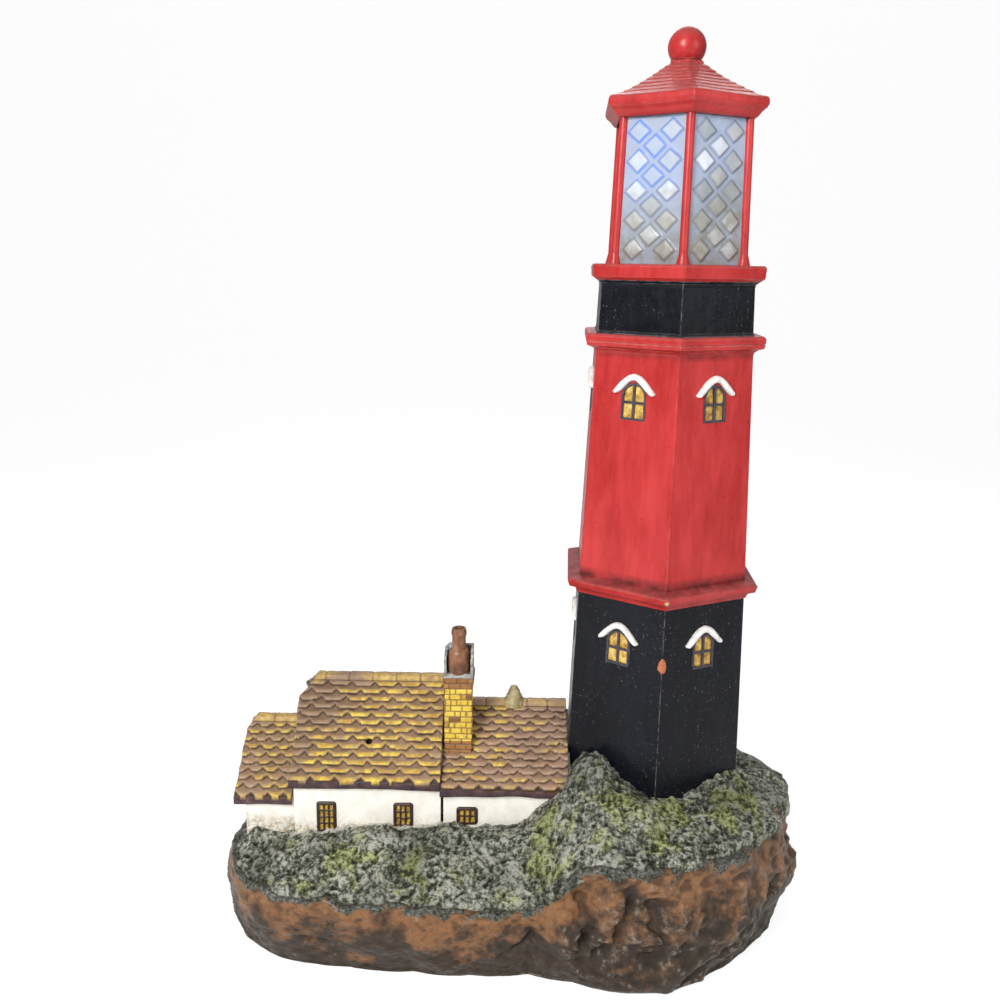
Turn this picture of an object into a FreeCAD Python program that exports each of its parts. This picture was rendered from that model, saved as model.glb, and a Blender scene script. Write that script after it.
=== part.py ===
import FreeCAD, Part
import math
import os
import re
import Sketcher
from FreeCAD import Matrix, Placement, Rotation, Vector

# A cast and painted garden ornament: a hexagonal lighthouse beside a low tiled cottage, on a
# planted rock.  +X runs along the cottage's ridge towards the tower, -Y is the front, +Z is up.
# The origin is on the ground under the middle of the rock.  Millimetres and degrees.

SIZES = {
    # the rock and the ground that the buildings stand on
    "base_length": 258.0,
    "base_depth": 140.0,
    "foot_drop": 1.0,            # the rubber feet stand this far below the rock's rim
    "undercut": 9.0,             # the rock's foot draws in under its belly
    "lip_draw": 4.0,             # its lip draws in above the belly
    "rock_roughness": 3.0,
    "knee_height": 14.0,
    "belly_height": 30.0,
    "ground_low": 35.0,          # terrace under the cottage
    "ground_high": 59.0,         # terrace under the tower
    "slope_run": 36.0,           # from one terrace to the other
    "slope_reach": 24.0,         # from the slope's head to the tower's axis
    "bank_rise": 13.0,           # planting above the ground at the walls
    "bank_edge": 1.6,
    "bank_setback": 3.0,
    # underside
    "plate_margin_x": 37.0,      # from the rock's reach to the plate's edge
    "plate_margin_y": 31.0,
    "plate_corner": 12.0,
    "plate_thickness": 3.0,
    "plate_recess": 1.5,         # above the rock's rim
    "plate_ledge": 7.0,          # the cavity is this much smaller than the plate all round
    "cavity_corner": 8.0,
    "cavity_roof": 29.0,
    "foot_radius": 7.0,
    "foot_inset": 10.0,          # from the plate's edges to a foot's axis
    "screw_span": 100.0,
    "screw_inset": 4.0,
    "screw_radius": 1.45,
    "screw_length": 8.0,
    "screw_head_radius": 2.7,
    "screw_head_height": 1.6,
    "fit_gap": 0.3,
    "pilot_gap": 0.05,
    # batteries, their tray and its door
    "tray_offset": 18.0,         # from the tower's axis to the tray's middle
    "tray_y": 2.0,
    "tray_wall": 1.8,
    "tray_room_length": 57.2,
    "tray_room_width": 48.4,
    "cell_radius": 7.15,
    "cell_length": 49.5,
    "cell_nub_radius": 2.75,
    "cell_nub_length": 1.0,
    "cell_pitch": 15.2,
    "cell_clearance": 0.45,
    "contact_size": 9.0,
    "contact_thickness": 0.4,
    "spring_radius": 3.2,
    "spring_wire": 0.8,
    "spring_turns": 3.0,
    "door_length": 59.0,
    "door_width": 49.2,
    "hinge_pin_radius": 0.8,
    "hinge_pin_length": 1.6,
    "hinge_gap": 0.06,
    "finger_radius": 6.0,
    # slide switch
    "switch_offset": 64.0,       # from the tray's middle to the switch
    "switch_length": 14.0,
    "switch_width": 7.6,
    "switch_height": 6.0,
    "slider_flange_length": 7.0,
    "slider_flange_width": 5.0,
    "slider_flange_height": 2.4,
    "slider_knob_length": 4.4,
    "slider_knob_width": 3.4,
    "slider_travel": 3.0,
    "switch_lead_radius": 1.0,
    "switch_lead_height": 9.0,
    # tower
    "tower_margin": 67.0,        # from the rock's reach to the tower's axis
    "tower_y": 9.0,
    "tower_turn": -3.8,          # of its front corner from -Y
    "tower_wall": 4.5,
    "lower_foot_radius": 43.3,   # every radius of the tower runs to a corner
    "lower_head_radius": 40.3,
    "lower_height": 95.2,
    "ledge_radius": 45.9,
    "ledge_height": 7.9,
    "upper_foot_radius": 40.1,
    "upper_head_radius": 36.2,
    "upper_height": 95.6,
    "cove_height": 2.4,
    "cove_spread": 1.8,
    "gallery_radius": 41.1,
    "gallery_height": 5.6,
    "watch_radius": 35.4,
    "watch_height": 21.0,
    "sill_radius": 39.1,
    "sill_height": 6.2,
    "lens_foot_radius": 29.3,
    "lens_head_radius": 27.7,
    "lens_height": 55.1,
    "lens_wall": 2.0,
    "facet_width": 8.4,          # raised squares that stand on their corners
    "facet_height": 8.8,
    "facet_column": 14.2,
    "facet_row": 5.3,
    "facet_relief": 0.8,
    "facet_bevel": 0.9,
    "post_radius": 1.7,
    "post_flare": 1.0,
    "post_flare_height": 4.0,
    "eave_radius": 35.1,
    "eave_height": 6.5,
    "roof_collar_radius": 7.0,
    "roof_rise": 16.3,
    "roof_boards": 7,
    "board_edge": 0.9,
    "spigot_height": 5.0,
    "spigot_wall": 2.2,
    "ball_radius": 7.5,
    "ball_rise": 5.1,            # of its centre above the roof's collar
    # tower windows
    "window_drop": 28.0,         # from a drum's head to the foot of its windows
    "arch_width": 10.6,
    "arch_height": 14.8,
    "arch_rise": 4.6,
    "arch_border": 0.8,
    "arch_bar": 0.9,
    "arch_bar_height": 6.6,
    "arch_recess": 1.2,
    "arch_proud": 0.3,
    "pane_thickness": 0.5,
    "hood_span": 20.0,
    "hood_tip_height": 11.2,
    "hood_rise": 5.4,
    "hood_thickness": 2.3,
    "hood_relief": 1.8,
    # lamp
    "socket_radius": 5.5,
    "socket_flange_radius": 8.0,
    "socket_flange": 1.5,
    "socket_depth": 12.0,
    "lamp_cap_radius": 4.3,
    "lamp_radius": 6.0,
    "lamp_height": 25.0,
    "lamp_lead_radius": 1.5,
    "lead_hole_radius": 4.0,
    # cottage: three ranges under one ridge line
    "ridge_y": 8.0,
    "main_margin": 33.0,         # from the rock's reach to the main range
    "main_length": 64.0,
    "main_half_depth": 32.0,
    "main_eave": 67.6,
    "main_ridge": 103.3,
    "main_courses": 13,
    "main_tiles": 9.5,
    "main_verge": 1.0,
    "main_clip": 6.0,            # the verge's clipped top corner
    "wing_length": 22.0,
    "wing_half_depth": 28.0,
    "wing_eave": 56.0,
    "wing_ridge": 82.0,
    "wing_courses": 10,
    "wing_tiles": 3.5,
    "wing_verge": 3.0,
    "link_setback": 37.5,        # from the tower's axis
    "link_half_depth": 32.0,
    "link_eave": 64.5,
    "link_ridge": 91.8,
    "link_courses": 12,
    "link_tiles": 7.0,
    "roof_thickness": 3.0,
    "eaves_overhang": 2.0,
    "eaves_drip": 1.5,
    "tile_thickness": 0.9,
    "tile_lap": 1.3,             # length of a course over its pitch
    "tile_notch": 1.2,           # from a tile's tip to the corner where two tiles meet
    "tile_flat": 0.5,            # share of a tile's width that its straight tip takes
    "course_gap": 0.03,
    "ridge_tile_leg": 4.5,
    "ridge_tile_thickness": 1.2,
    "ridge_tile_gap": 0.3,
    "board_thickness": 1.2,
    "board_height": 3.2,
    "cottage_window_width": 8.5,
    "cottage_window_height": 14.0,
    "cottage_window_foot": 47.0,
    "cottage_window_inset": 14.25,
    "link_window_width": 9.0,
    "link_window_height": 8.0,
    "link_window_foot": 51.5,
    "link_window_inset": 11.5,
    "cottage_window_recess": 1.2,
    "lattice_border": 1.1,
    "lattice_bar": 0.7,
    # chimney
    "chimney_gap": 1.0,          # between the main range and the chimney
    "chimney_width": 12.0,
    "chimney_front": -14.0,
    "chimney_foot": 74.0,
    "chimney_top": 115.0,
    "corbel_spread": 0.8,
    "corbel_height": 5.0,
    "cap_height": 12.0,
    "cap_floor": 1.6,
    "cap_step": 4.0,
    "pot_radius": 4.3,
    "pot_neck_radius": 3.3,
    "pot_barrel_height": 11.0,
    "pot_height": 21.0,
    "pot_bore_radius": 1.9,
    "pot_bore_depth": 3.0,
    "finial_offset": 31.5,       # from the link's left end
    "finial_radius": 5.0,
    "finial_height": 9.0,
}

# Heights and places that follow from the sizes above.
WORKED_OUT = {
    "half_length": "base_length / 2",
    "half_depth": "base_depth / 2",
    "tower_x": "half_length - tower_margin",
    "main_left": "main_margin - half_length",
    "main_right": "main_left + main_length",
    "plate_length": "base_length - 2 * plate_margin_x",
    "plate_width": "base_depth - 2 * plate_margin_y",
    "tray_x": "tower_x - tray_offset",
    "switch_x": "tray_x - switch_offset",
    "slope_head": "tower_x - slope_reach",
    "slope_foot": "slope_head - slope_run",
    "plate_bottom": "foot_drop + plate_recess",
    "plate_top": "plate_bottom + plate_thickness",
    "cell_height": "plate_top + cell_radius + cell_clearance",
    "tray_ceiling": "cell_height + cell_radius + cell_clearance",
    "tray_top": "tray_ceiling + tray_wall",
    "hinge_radius": "plate_thickness / 2",
    "hinge_height": "plate_bottom + hinge_radius",
    "hinge_y": "tray_y + door_width / 2 - fit_gap - hinge_radius",
    "ledge_level": "ground_high + lower_height",
    "upper_level": "ledge_level + ledge_height",
    "gallery_level": "upper_level + upper_height",
    "watch_level": "gallery_level + gallery_height",
    "sill_level": "watch_level + watch_height",
    "lens_level": "sill_level + sill_height",
    "lens_top": "lens_level + lens_height",
    "eave_top": "lens_top + eave_height",
    "collar_level": "eave_top + roof_rise",
    "ball_centre": "collar_level + ball_rise",
    "lens_skin": "lens_wall / cos(30)",
    "wing_left": "main_left - wing_length",
    "wing_right": "main_left",
    "link_left": "main_right",
    "link_right": "tower_x - link_setback",
    "main_roof_left": "main_left - main_verge",
    "main_roof_right": "main_right",
    "wing_roof_left": "wing_left - wing_verge",
    "wing_roof_right": "main_roof_left - course_gap",
    "link_roof_left": "main_roof_right + course_gap",
    "link_roof_right": "link_right",
    "chimney_left": "main_right + chimney_gap",
    "chimney_right": "chimney_left + chimney_width",
    "chimney_back": "chimney_front + chimney_width",
    "cap_top": "chimney_top + cap_height",
    "finial_x": "link_left + finial_offset",
    "pot_x": "chimney_left + chimney_width / 2",
    "pot_y": "chimney_front + pot_radius - 0.4",
}
for name in ("main", "wing", "link"):
    WORKED_OUT.update({
        f"{name}_front": f"ridge_y - {name}_half_depth",
        f"{name}_back": f"ridge_y + {name}_half_depth",
        f"{name}_eave_front": f"{name}_front - eaves_overhang",
        f"{name}_eave_back": f"{name}_back + eaves_overhang",
        f"{name}_pitch": f"({name}_ridge - {name}_eave) / ({name}_half_depth + eaves_overhang)",
        f"{name}_drop": f"roof_thickness * sqrt(1 + {name}_pitch * {name}_pitch)",
        f"{name}_wall_top": f"{name}_eave + eaves_overhang * {name}_pitch - {name}_drop",
        f"{name}_apex": f"{name}_ridge - {name}_drop",
    })

doc = FreeCAD.newDocument("GardenLighthouse")
sheet = doc.addObject("Spreadsheet::Sheet", "Sizes")
for row, (alias, amount) in enumerate(SIZES.items(), 1):
    sheet.set(f"A{row}", alias.replace("_", " "))
    sheet.set(f"B{row}", str(amount))
    sheet.setAlias(f"B{row}", alias)
doc.recompute()

pieces = []


def cells(formula):
    """The formula with each size written as its cell of the sheet."""
    def name_cell(match):
        word = match.group(0)
        if word in WORKED_OUT:
            return "(" + cells(WORKED_OUT[word]) + ")"
        return "Sizes." + word if word in SIZES else word
    return re.sub(r"[a-z][a-z_0-9]*", name_cell, str(formula))


def number(formula):
    return float(sheet.evalExpression(cells(formula)))


def numbers(*formulas):
    return [number(formula) for formula in formulas]


def bind(thing, **formulas):
    """Binds properties to the sheet; a double underscore in a name stands for a dot."""
    for name, formula in formulas.items():
        thing.setExpression(name.replace("__", "."), cells(formula))
    return thing


def piece(thing, label):
    """Marks a document object as a finished sub-part, under the name that its file gets."""
    thing.Label = label
    pieces.append(thing)
    return thing


def boolean(kind, name, first, second):
    result = doc.addObject("Part::" + kind, name)
    result.Base = first
    result.Tool = second
    return result


def cut(name, first, second):
    return boolean("Cut", name, first, second)


def fuse(name, things):
    result = doc.addObject("Part::MultiFuse", name)
    result.Shapes = things
    return result


def group(name, things):
    result = doc.addObject("Part::Compound", name)
    result.Links = things
    return result


def feature(name, shape):
    result = doc.addObject("Part::Feature", name)
    result.Shape = shape
    return result


def box(name, left, right, front, back, bottom, top):
    result = doc.addObject("Part::Box", name)
    bind(result, Length=f"({right}) - ({left})", Width=f"({back}) - ({front})")
    bind(result, Height=f"({top}) - ({bottom})")
    bind(result, Placement__Base__x=left, Placement__Base__y=front, Placement__Base__z=bottom)
    return result


def cylinder(name, radius, bottom, top, x, y):
    result = doc.addObject("Part::Cylinder", name)
    bind(result, Radius=radius, Height=f"({top}) - ({bottom})")
    bind(result, Placement__Base__x=x, Placement__Base__y=y, Placement__Base__z=bottom)
    return result


# ---- PartDesign helpers

def origin_plane(body, role):
    return next(plane for plane in body.Origin.OriginFeatures if plane.Role == role)


def place_sketch(body, name, plane, offset):
    """A sketch on one of the body's own planes, moved along that plane's normal."""
    sketch = body.newObject("Sketcher::SketchObject", name)
    sketch.AttachmentSupport = (origin_plane(body, plane), [""])
    sketch.MapMode = "FlatFace"
    bind(sketch, AttachmentOffset__Base__z=offset)
    return sketch


def hold(sketch, kind, first, second, formula, geometry_point=None):
    """One distance from the sketch's origin, bound to the sheet."""
    index = sketch.addConstraint(Sketcher.Constraint(kind, -1, 1, first, second, number(formula)))
    sketch.setExpression(f"Constraints[{index}]", cells(formula))


def add_outline(sketch, corners):
    """A closed outline of straight runs, with every corner held both ways from the origin."""
    first = sketch.GeometryCount
    spots = [Vector(number(across), number(up), 0) for across, up in corners]
    count = len(spots)
    for k in range(count):
        sketch.addGeometry(Part.LineSegment(spots[k], spots[(k + 1) % count]), False)
    for k in range(count):
        joint = Sketcher.Constraint("Coincident", first + k, 2, first + (k + 1) % count, 1)
        sketch.addConstraint(joint)
    for k, (across, up) in enumerate(corners):
        hold(sketch, "DistanceX", first + k, 1, across)
        hold(sketch, "DistanceY", first + k, 1, up)


def add_circle(sketch, across, up, radius):
    centre = Vector(number(across), number(up), 0)
    index = sketch.addGeometry(Part.Circle(centre, Vector(0, 0, 1), number(radius)), False)
    hold(sketch, "DistanceX", index, 3, across)
    hold(sketch, "DistanceY", index, 3, up)
    size = sketch.addConstraint(Sketcher.Constraint("Radius", index, number(radius)))
    sketch.setExpression(f"Constraints[{size}]", cells(radius))


def rectangle(left, right, low, high):
    return [(left, low), (right, low), (right, high), (left, high)]


def pad(body, name, plane, offset, corners, length, midplane=False):
    sketch = place_sketch(body, name + "_sketch", plane, offset)
    add_outline(sketch, corners)
    result = body.newObject("PartDesign::Pad", name)
    result.Profile = sketch
    result.Midplane = midplane
    bind(result, Length=length)
    return result


def pocket(body, name, plane, offset, outlines, depth, reversed_way=False, circles=()):
    """A pocket cuts against the plane's normal, or along it where reversed."""
    sketch = place_sketch(body, name + "_sketch", plane, offset)
    for corners in outlines:
        add_outline(sketch, corners)
    for circle in circles:
        add_circle(sketch, *circle)
    result = body.newObject("PartDesign::Pocket", name)
    result.Profile = sketch
    result.Reversed = reversed_way
    bind(result, Length=depth)
    return result


def round_upright_edges(body, name, base, radius):
    """Fillets the base feature's edges that stand along Z."""
    doc.recompute()
    upright = []
    for index, edge in enumerate(base.Shape.Edges, 1):
        if abs(edge.tangentAt(edge.FirstParameter).z) > 0.99:
            upright.append(f"Edge{index}")
    result = body.newObject("PartDesign::Fillet", name)
    result.Base = (base, upright)
    bind(result, Radius=radius)
    return result


def turned(label, profile, x, y):
    """A body turned about an upright axis; the profile is a list of (radius, height) corners."""
    body = doc.addObject("PartDesign::Body", label + "_body")
    sketch = place_sketch(body, label + "_sketch", "XZ_Plane", "0")
    add_outline(sketch, profile)
    result = body.newObject("PartDesign::Revolution", label + "_revolution")
    result.Profile = sketch
    result.ReferenceAxis = (sketch, ["V_Axis"])
    result.Angle = 360
    bind(body, Placement__Base__x=x, Placement__Base__y=y)
    return body


# ---- tower helpers

def hexagon(name, radius, level):
    """One level section of the tower, square to its axis."""
    ring = doc.addObject("Part::RegularPolygon", name)
    ring.Polygon = 6
    ring.Placement = Placement(Vector(), Rotation(Vector(0, 0, 1), 1))
    bind(ring, Circumradius=radius, Placement__Rotation__Angle="tower_turn + 30")
    bind(ring, Placement__Base__x="tower_x", Placement__Base__y="tower_y")
    bind(ring, Placement__Base__z=level)
    return ring


def stack(name, rings):
    """A hexagonal moulding: a ruled loft up through (radius, level) sections."""
    loft = doc.addObject("Part::Loft", name)
    loft.Sections = [hexagon(f"{name}_{k}", *ring) for k, ring in enumerate(rings)]
    loft.Solid = True
    loft.Ruled = True
    return loft


def hollow(name, rings, bore):
    return cut(name, stack(name + "_outside", rings), stack(name + "_bore", bore))


def cove(foot_radius, spread, level, height):
    """Three sections of a hollow curve that flares out, up to its top."""
    rings = []
    for share in (0.0, 0.55, 1.0):
        flare = f"{foot_radius} + {1 - math.sqrt(1 - share * share):.4f} * ({spread})"
        rings.append((flare, f"{level} + {share} * ({height})"))
    return rings


def face_placements(level, foot_radius, head_radius, foot_level, head_level):
    """Frames on the six faces at one level: X across, Y up the face, Z outwards."""
    apothem = math.cos(math.radians(30))
    share = (level - foot_level) / (head_level - foot_level)
    radius = foot_radius + (head_radius - foot_radius) * share
    lean = math.atan2((foot_radius - head_radius) * apothem, head_level - foot_level)
    placements = []
    for side in range(6):
        heading = math.radians(number("tower_turn") - 60 + 60 * side)
        outward = Vector(math.cos(heading), math.sin(heading), 0)
        across = Vector(-outward.y, outward.x, 0)
        normal = outward * math.cos(lean) + Vector(0, 0, math.sin(lean))
        upward = normal.cross(across)
        spot = Vector(number("tower_x"), number("tower_y"), level) + outward * radius * apothem
        placements.append(Placement(Matrix(
            across.x, upward.x, normal.x, spot.x,
            across.y, upward.y, normal.y, spot.y,
            across.z, upward.z, normal.z, spot.z,
            0, 0, 0, 1)))
    return placements


def polygon_face(points):
    return Part.Face(Part.makePolygon(points + points[:1]))


def placed(shape, placement):
    copy = shape.copy()
    copy.Placement = placement.multiply(copy.Placement)
    return copy


def faceted_solid(rings, bottom_tip=None, top_tip=None):
    """A solid of triangles between rings of equal count, each ring half a step round from the
    last.  The ends are flat faces, or fans to a tip."""
    faces = []
    count = len(rings[0])
    for level, (low, high) in enumerate(zip(rings, rings[1:])):
        for k in range(count):
            after = (k + 1) % count
            if level % 2 == 0:
                faces.append(polygon_face([low[k], low[after], high[k]]))
                faces.append(polygon_face([high[k], low[after], high[after]]))
            else:
                faces.append(polygon_face([low[k], high[after], high[k]]))
                faces.append(polygon_face([low[k], low[after], high[after]]))
    for ring, tip in ((rings[0], bottom_tip), (rings[-1], top_tip)):
        if tip is None:
            faces.append(polygon_face(ring))
        else:
            for k in range(count):
                faces.append(polygon_face([ring[k], ring[(k + 1) % count], tip]))
    shell = Part.makeShell(faces)
    shell.sewShape()
    solid = Part.makeSolid(Part.makeShell(shell.Faces))
    if solid.Volume < 0:
        solid.reverse()
    return solid


# ---- ground and rock

# The rock's belly seen from above, as shares of its half length and half depth, and how much
# of the undercut its foot has there.
ROCK_CORNERS = [
    (-1.00, -0.20, 0.1), (-0.95, -0.52, 0.2), (-0.82, -0.74, 0.5), (-0.60, -0.85, 1.1),
    (-0.37, -0.90, 1.2), (-0.16, -0.93, 0.9), (0.06, -0.91, 0.5), (0.22, -0.98, 0.5),
    (0.40, -1.00, 0.0), (0.54, -0.97, 0.0), (0.68, -0.86, 0.0), (0.83, -0.66, 0.0),
    (0.95, -0.38, 0.0), (1.00, -0.04, 0.2), (0.98, 0.19, 0.5), (0.90, 0.42, 0.8),
    (0.74, 0.68, 0.9), (0.45, 1.00, 0.9), (0.22, 0.95, 0.9), (-0.05, 0.90, 0.9),
    (-0.33, 0.95, 0.9), (-0.60, 0.88, 0.9), (-0.81, 0.71, 0.8), (-0.95, 0.32, 0.4),
]


def rock_ring(inset, height, between_corners, rough=0.0, undercutting=False):
    """The rock's outline drawn in by an inset; the odd rings run through the midpoints."""
    half_length, half_depth = numbers("half_length", "half_depth")
    points = []
    for k, corner in enumerate(ROCK_CORNERS):
        if between_corners:
            following = ROCK_CORNERS[(k + 1) % len(ROCK_CORNERS)]
            corner = [(here + there) / 2 for here, there in zip(corner, following)]
        along, away, share = corner
        draw = inset * share if undercutting else inset
        draw += rough * (0.5 + 0.5 * math.sin(7.3 * k + 0.37 * height))
        points.append(Vector(along * (half_length - draw), away * (half_depth - draw), height))
    return points


def ground_height(x):
    """The two terraces and the slope between them."""
    low, high, foot, head = numbers("ground_low", "ground_high", "slope_foot", "slope_head")
    return low + (high - low) * min(1.0, max(0.0, (x - foot) / (head - foot)))


ground = doc.addObject("PartDesign::Body", "ground")
pad(ground, "ground_pad", "XZ_Plane", "0", [
    ("-base_length", "-ground_low"), ("base_length", "-ground_low"),
    ("base_length", "ground_high"), ("slope_head", "ground_high"),
    ("slope_foot", "ground_low"), ("-base_length", "ground_low")],
    "2 * base_depth", midplane=True)

rim, knee, belly, terrace, undercut, lip_draw, rough = numbers(
    "foot_drop", "knee_height", "belly_height", "ground_high", "undercut", "lip_draw",
    "rock_roughness")
rock_block = feature("rock_block", faceted_solid([
    rock_ring(undercut, rim, False, rough / 2, True),
    rock_ring(undercut * 0.3, knee, True, rough / 2, True),
    rock_ring(0.0, belly, False),
    rock_ring(lip_draw * 0.4, (belly + terrace) / 2, True, rough),
    rock_ring(lip_draw, terrace + lip_draw, False, rough)]))
rock_mass = boolean("Common", "rock_mass", rock_block, ground)


def rounded_slab(name, length, width, corner, bottom, top):
    """A slab with rounded upright corners, on the part's own axes."""
    body = doc.addObject("PartDesign::Body", name)
    base = pad(body, name + "_pad", "XY_Plane", bottom, rectangle(
        f"-({length}) / 2", f"({length}) / 2", f"-({width}) / 2", f"({width}) / 2"),
        f"({top}) - ({bottom})")
    round_upright_edges(body, name + "_corners", base, corner)
    return body


plate_room = rounded_slab("plate_room", "plate_length + 2 * fit_gap", "plate_width + 2 * fit_gap",
                          "plate_corner", "-plate_top", "plate_top")
cavity = rounded_slab("cavity", "plate_length - 2 * plate_ledge", "plate_width - 2 * plate_ledge",
                      "cavity_corner", "0", "cavity_roof")
lead_hole = cylinder("lead_hole", "lead_hole_radius", "cavity_roof - 1", "ground_high + 1",
                     "tower_x", "tower_y")
screw_spots = [(f"{side} * screw_span / 2", f"{end} * (plate_width / 2 - screw_inset)")
               for side in (-1, 1) for end in (-1, 1)]
pilots = []
for k, (x, y) in enumerate(screw_spots):
    pilots.append(cylinder(f"pilot_{k}", "screw_radius + pilot_gap", "0",
                           "plate_bottom + screw_head_height + screw_length + 1", x, y))
cottage_rooms = []
for name in ("main", "wing", "link"):
    room = [f"{name}_{edge}" for edge in ("left", "right", "front", "back")]
    cottage_rooms.append(box(f"{name}_room", *room, "ground_low", f"{name}_ridge"))
cottage_room = fuse("cottage_room", cottage_rooms)
rock_hollows = fuse("rock_hollows", [plate_room, cavity, lead_hole, cottage_room] + pilots)
piece(cut("rock_base_cut", rock_mass, rock_hollows), "rock_base")

# ---- planting bank

# Shrubs that stand above the even bank: x and y from the tower's axis, rise and spread.
SHRUBS = [
    (-30, -30, 12, 13), (-49, -38, 6, 14), (32, -26, 8, 13), (8, -44, -2, 12),
    (-92, -42, 4, 12), (-124, -44, 5, 11), (-150, -43, 3, 12), (-177, -29, 12, 7),
    (-20, 48, 7, 14), (-80, 46, 4, 16), (-140, 44, 4, 14),
]
BANK_RINGS = (1.0, 0.93, 0.84, 0.73, 0.6, 0.44, 0.25)


def bank_height(x, y, share):
    """The ground, the bank's even rise away from the rim, and the shrubs."""
    tower_x, tower_y, edge, rise = numbers("tower_x", "tower_y", "bank_edge", "bank_rise")
    height = ground_height(x) + edge + rise * min(1.0, (1 - share) / 0.45) ** 0.8
    for along, away, extra, spread in SHRUBS:
        off = math.hypot(x - tower_x - along, y - tower_y - away) / spread
        height += extra * math.exp(-off * off) * min(1.0, 6 * (1 - share))
    return height


def bank_ring(share, shifted):
    """A level ring of the bank: the rock's corners and midpoints, scaled towards the middle."""
    setback = number("bank_setback + lip_draw")
    corners = rock_ring(setback, 0, False)
    middles = rock_ring(setback, 0, True)
    ring = [spot for pair in zip(corners, middles) for spot in pair]
    if shifted:
        ring = [(spot + ring[(k + 1) % len(ring)]) / 2 for k, spot in enumerate(ring)]
    return [Vector(spot.x * share, spot.y * share, 0) for spot in ring]


def bank_mound():
    floor = number("ground_low") - number("bank_setback")
    rings = [[Vector(spot.x, spot.y, floor) for spot in bank_ring(1.0, False)]]
    for level, share in enumerate(BANK_RINGS):
        ring = bank_ring(share, level % 2 == 0)
        rings.append([Vector(spot.x, spot.y, bank_height(spot.x, spot.y, share)) for spot in ring])
    return faceted_solid(rings, top_tip=Vector(0, 0, bank_height(0, 0, 0)))


mound = feature("bank_mound", bank_mound())
tower_room = stack("tower_room", [
    ("lower_foot_radius + pilot_gap", "ground_high"),
    ("lower_head_radius + pilot_gap", "ledge_level")])
eaves_room = box("eaves_room", "link_left", "link_right",
                 "link_eave_front - eaves_drip - board_thickness",
                 "link_eave_back + eaves_drip + board_thickness",
                 "link_eave - 1 - board_height - fit_gap", "link_ridge")
bank_tools = fuse("bank_tools", [ground, tower_room, cottage_room, eaves_room])
piece(cut("planting_bank_cut", mound, bank_tools), "planting_bank")

# ---- tower windows


def arch(width, height, rise, thickness, foot=0.0):
    """An upright slab with a round head, standing on the local X axis."""
    half = width / 2
    left, right = Vector(-half, foot, 0), Vector(half, foot, 0)
    spring_right, spring_left = (Vector(side * half, foot + height - rise, 0) for side in (1, -1))
    head = Part.Arc(spring_right, Vector(0, foot + height, 0), spring_left)
    edges = [Part.makeLine(left, right), Part.makeLine(right, spring_right), head.toShape(),
             Part.makeLine(spring_left, left)]
    return Part.Face(Part.Wire(edges)).extrude(Vector(0, 0, thickness))


def window_set():
    """Recess, frame with its cross bars, pane and hood of one window, in a face's own frame."""
    width, height, rise, border, bar, bar_height = numbers(
        "arch_width", "arch_height", "arch_rise", "arch_border", "arch_bar", "arch_bar_height")
    recess, proud, pane_thickness = numbers("arch_recess", "arch_proud", "pane_thickness")
    inner = [width - 2 * border, height - 2 * border, rise - border / 2]
    hole = arch(width, height, rise, recess + 1).translate(Vector(0, 0, -recess))
    casing = arch(width, height, rise, recess + proud)
    light = arch(*inner, recess + proud, foot=border)
    upright = Part.makeBox(bar, height, recess, Vector(-bar / 2, 0, pane_thickness))
    level = Part.makeBox(width, bar, recess, Vector(-width / 2, bar_height, pane_thickness))
    bars = upright.fuse(level).common(light)
    frame = casing.cut(light).fuse(bars).removeSplitter()
    frame.translate(Vector(0, 0, -recess))
    pane = arch(*inner, pane_thickness, foot=border).translate(Vector(0, 0, -recess))
    return hole, frame, pane, window_hood()


def window_hood():
    """A band that follows one wave of a cosine over the arch and ends in level tips."""
    span, tip, rise, thickness, relief = numbers(
        "hood_span", "hood_tip_height", "hood_rise", "hood_thickness", "hood_relief")
    steps = 12
    upper, lower = [], []
    for k in range(steps + 1):
        across = span * (k / steps - 0.5)
        turn = 2 * math.pi * across / span
        middle = Vector(across, tip + rise * (1 + math.cos(turn)) / 2, 0)
        slope = -rise * math.pi / span * math.sin(turn)
        normal = Vector(-slope, 1, 0).normalize()
        half = thickness / 2 * (1 - 0.45 * abs(2 * across / span) ** 4)
        upper.append(middle + normal * half)
        lower.append(middle - normal * half)
    return polygon_face(lower + upper[::-1]).extrude(Vector(0, 0, relief))


def dress_drum(name, level, foot_radius, head_radius, foot_level, head_level):
    """The six windows of one drum; returns the tool that cuts their recesses."""
    sizes = numbers(level, foot_radius, head_radius, foot_level, head_level)
    hole, frame, pane, hood = window_set()
    spots = face_placements(*sizes)

    def on_all_faces(shape):
        return Part.makeCompound([placed(shape, spot) for spot in spots])
    piece(feature(name + "_frames", on_all_faces(frame)), name + "_window_frames")
    piece(feature(name + "_panes", on_all_faces(pane)), name + "_window_panes")
    piece(feature(name + "_hoods", on_all_faces(hood)), name + "_window_hoods")
    return feature(name + "_recesses", on_all_faces(hole))


# ---- tower

lower_drum = hollow("lower_drum", [
    ("lower_foot_radius", "ground_high"), ("lower_head_radius", "ledge_level")], [
    ("lower_foot_radius - tower_wall", "ground_high - 1"),
    ("lower_head_radius - tower_wall", "ledge_level + 1")])
lower_recesses = dress_drum("lower", "ledge_level - window_drop", "lower_foot_radius",
                            "lower_head_radius", "ground_high", "ledge_level")
lower_piece = cut("lower_drum_cut", lower_drum, lower_recesses)
piece(lower_piece, "lower_tower_drum")

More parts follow.
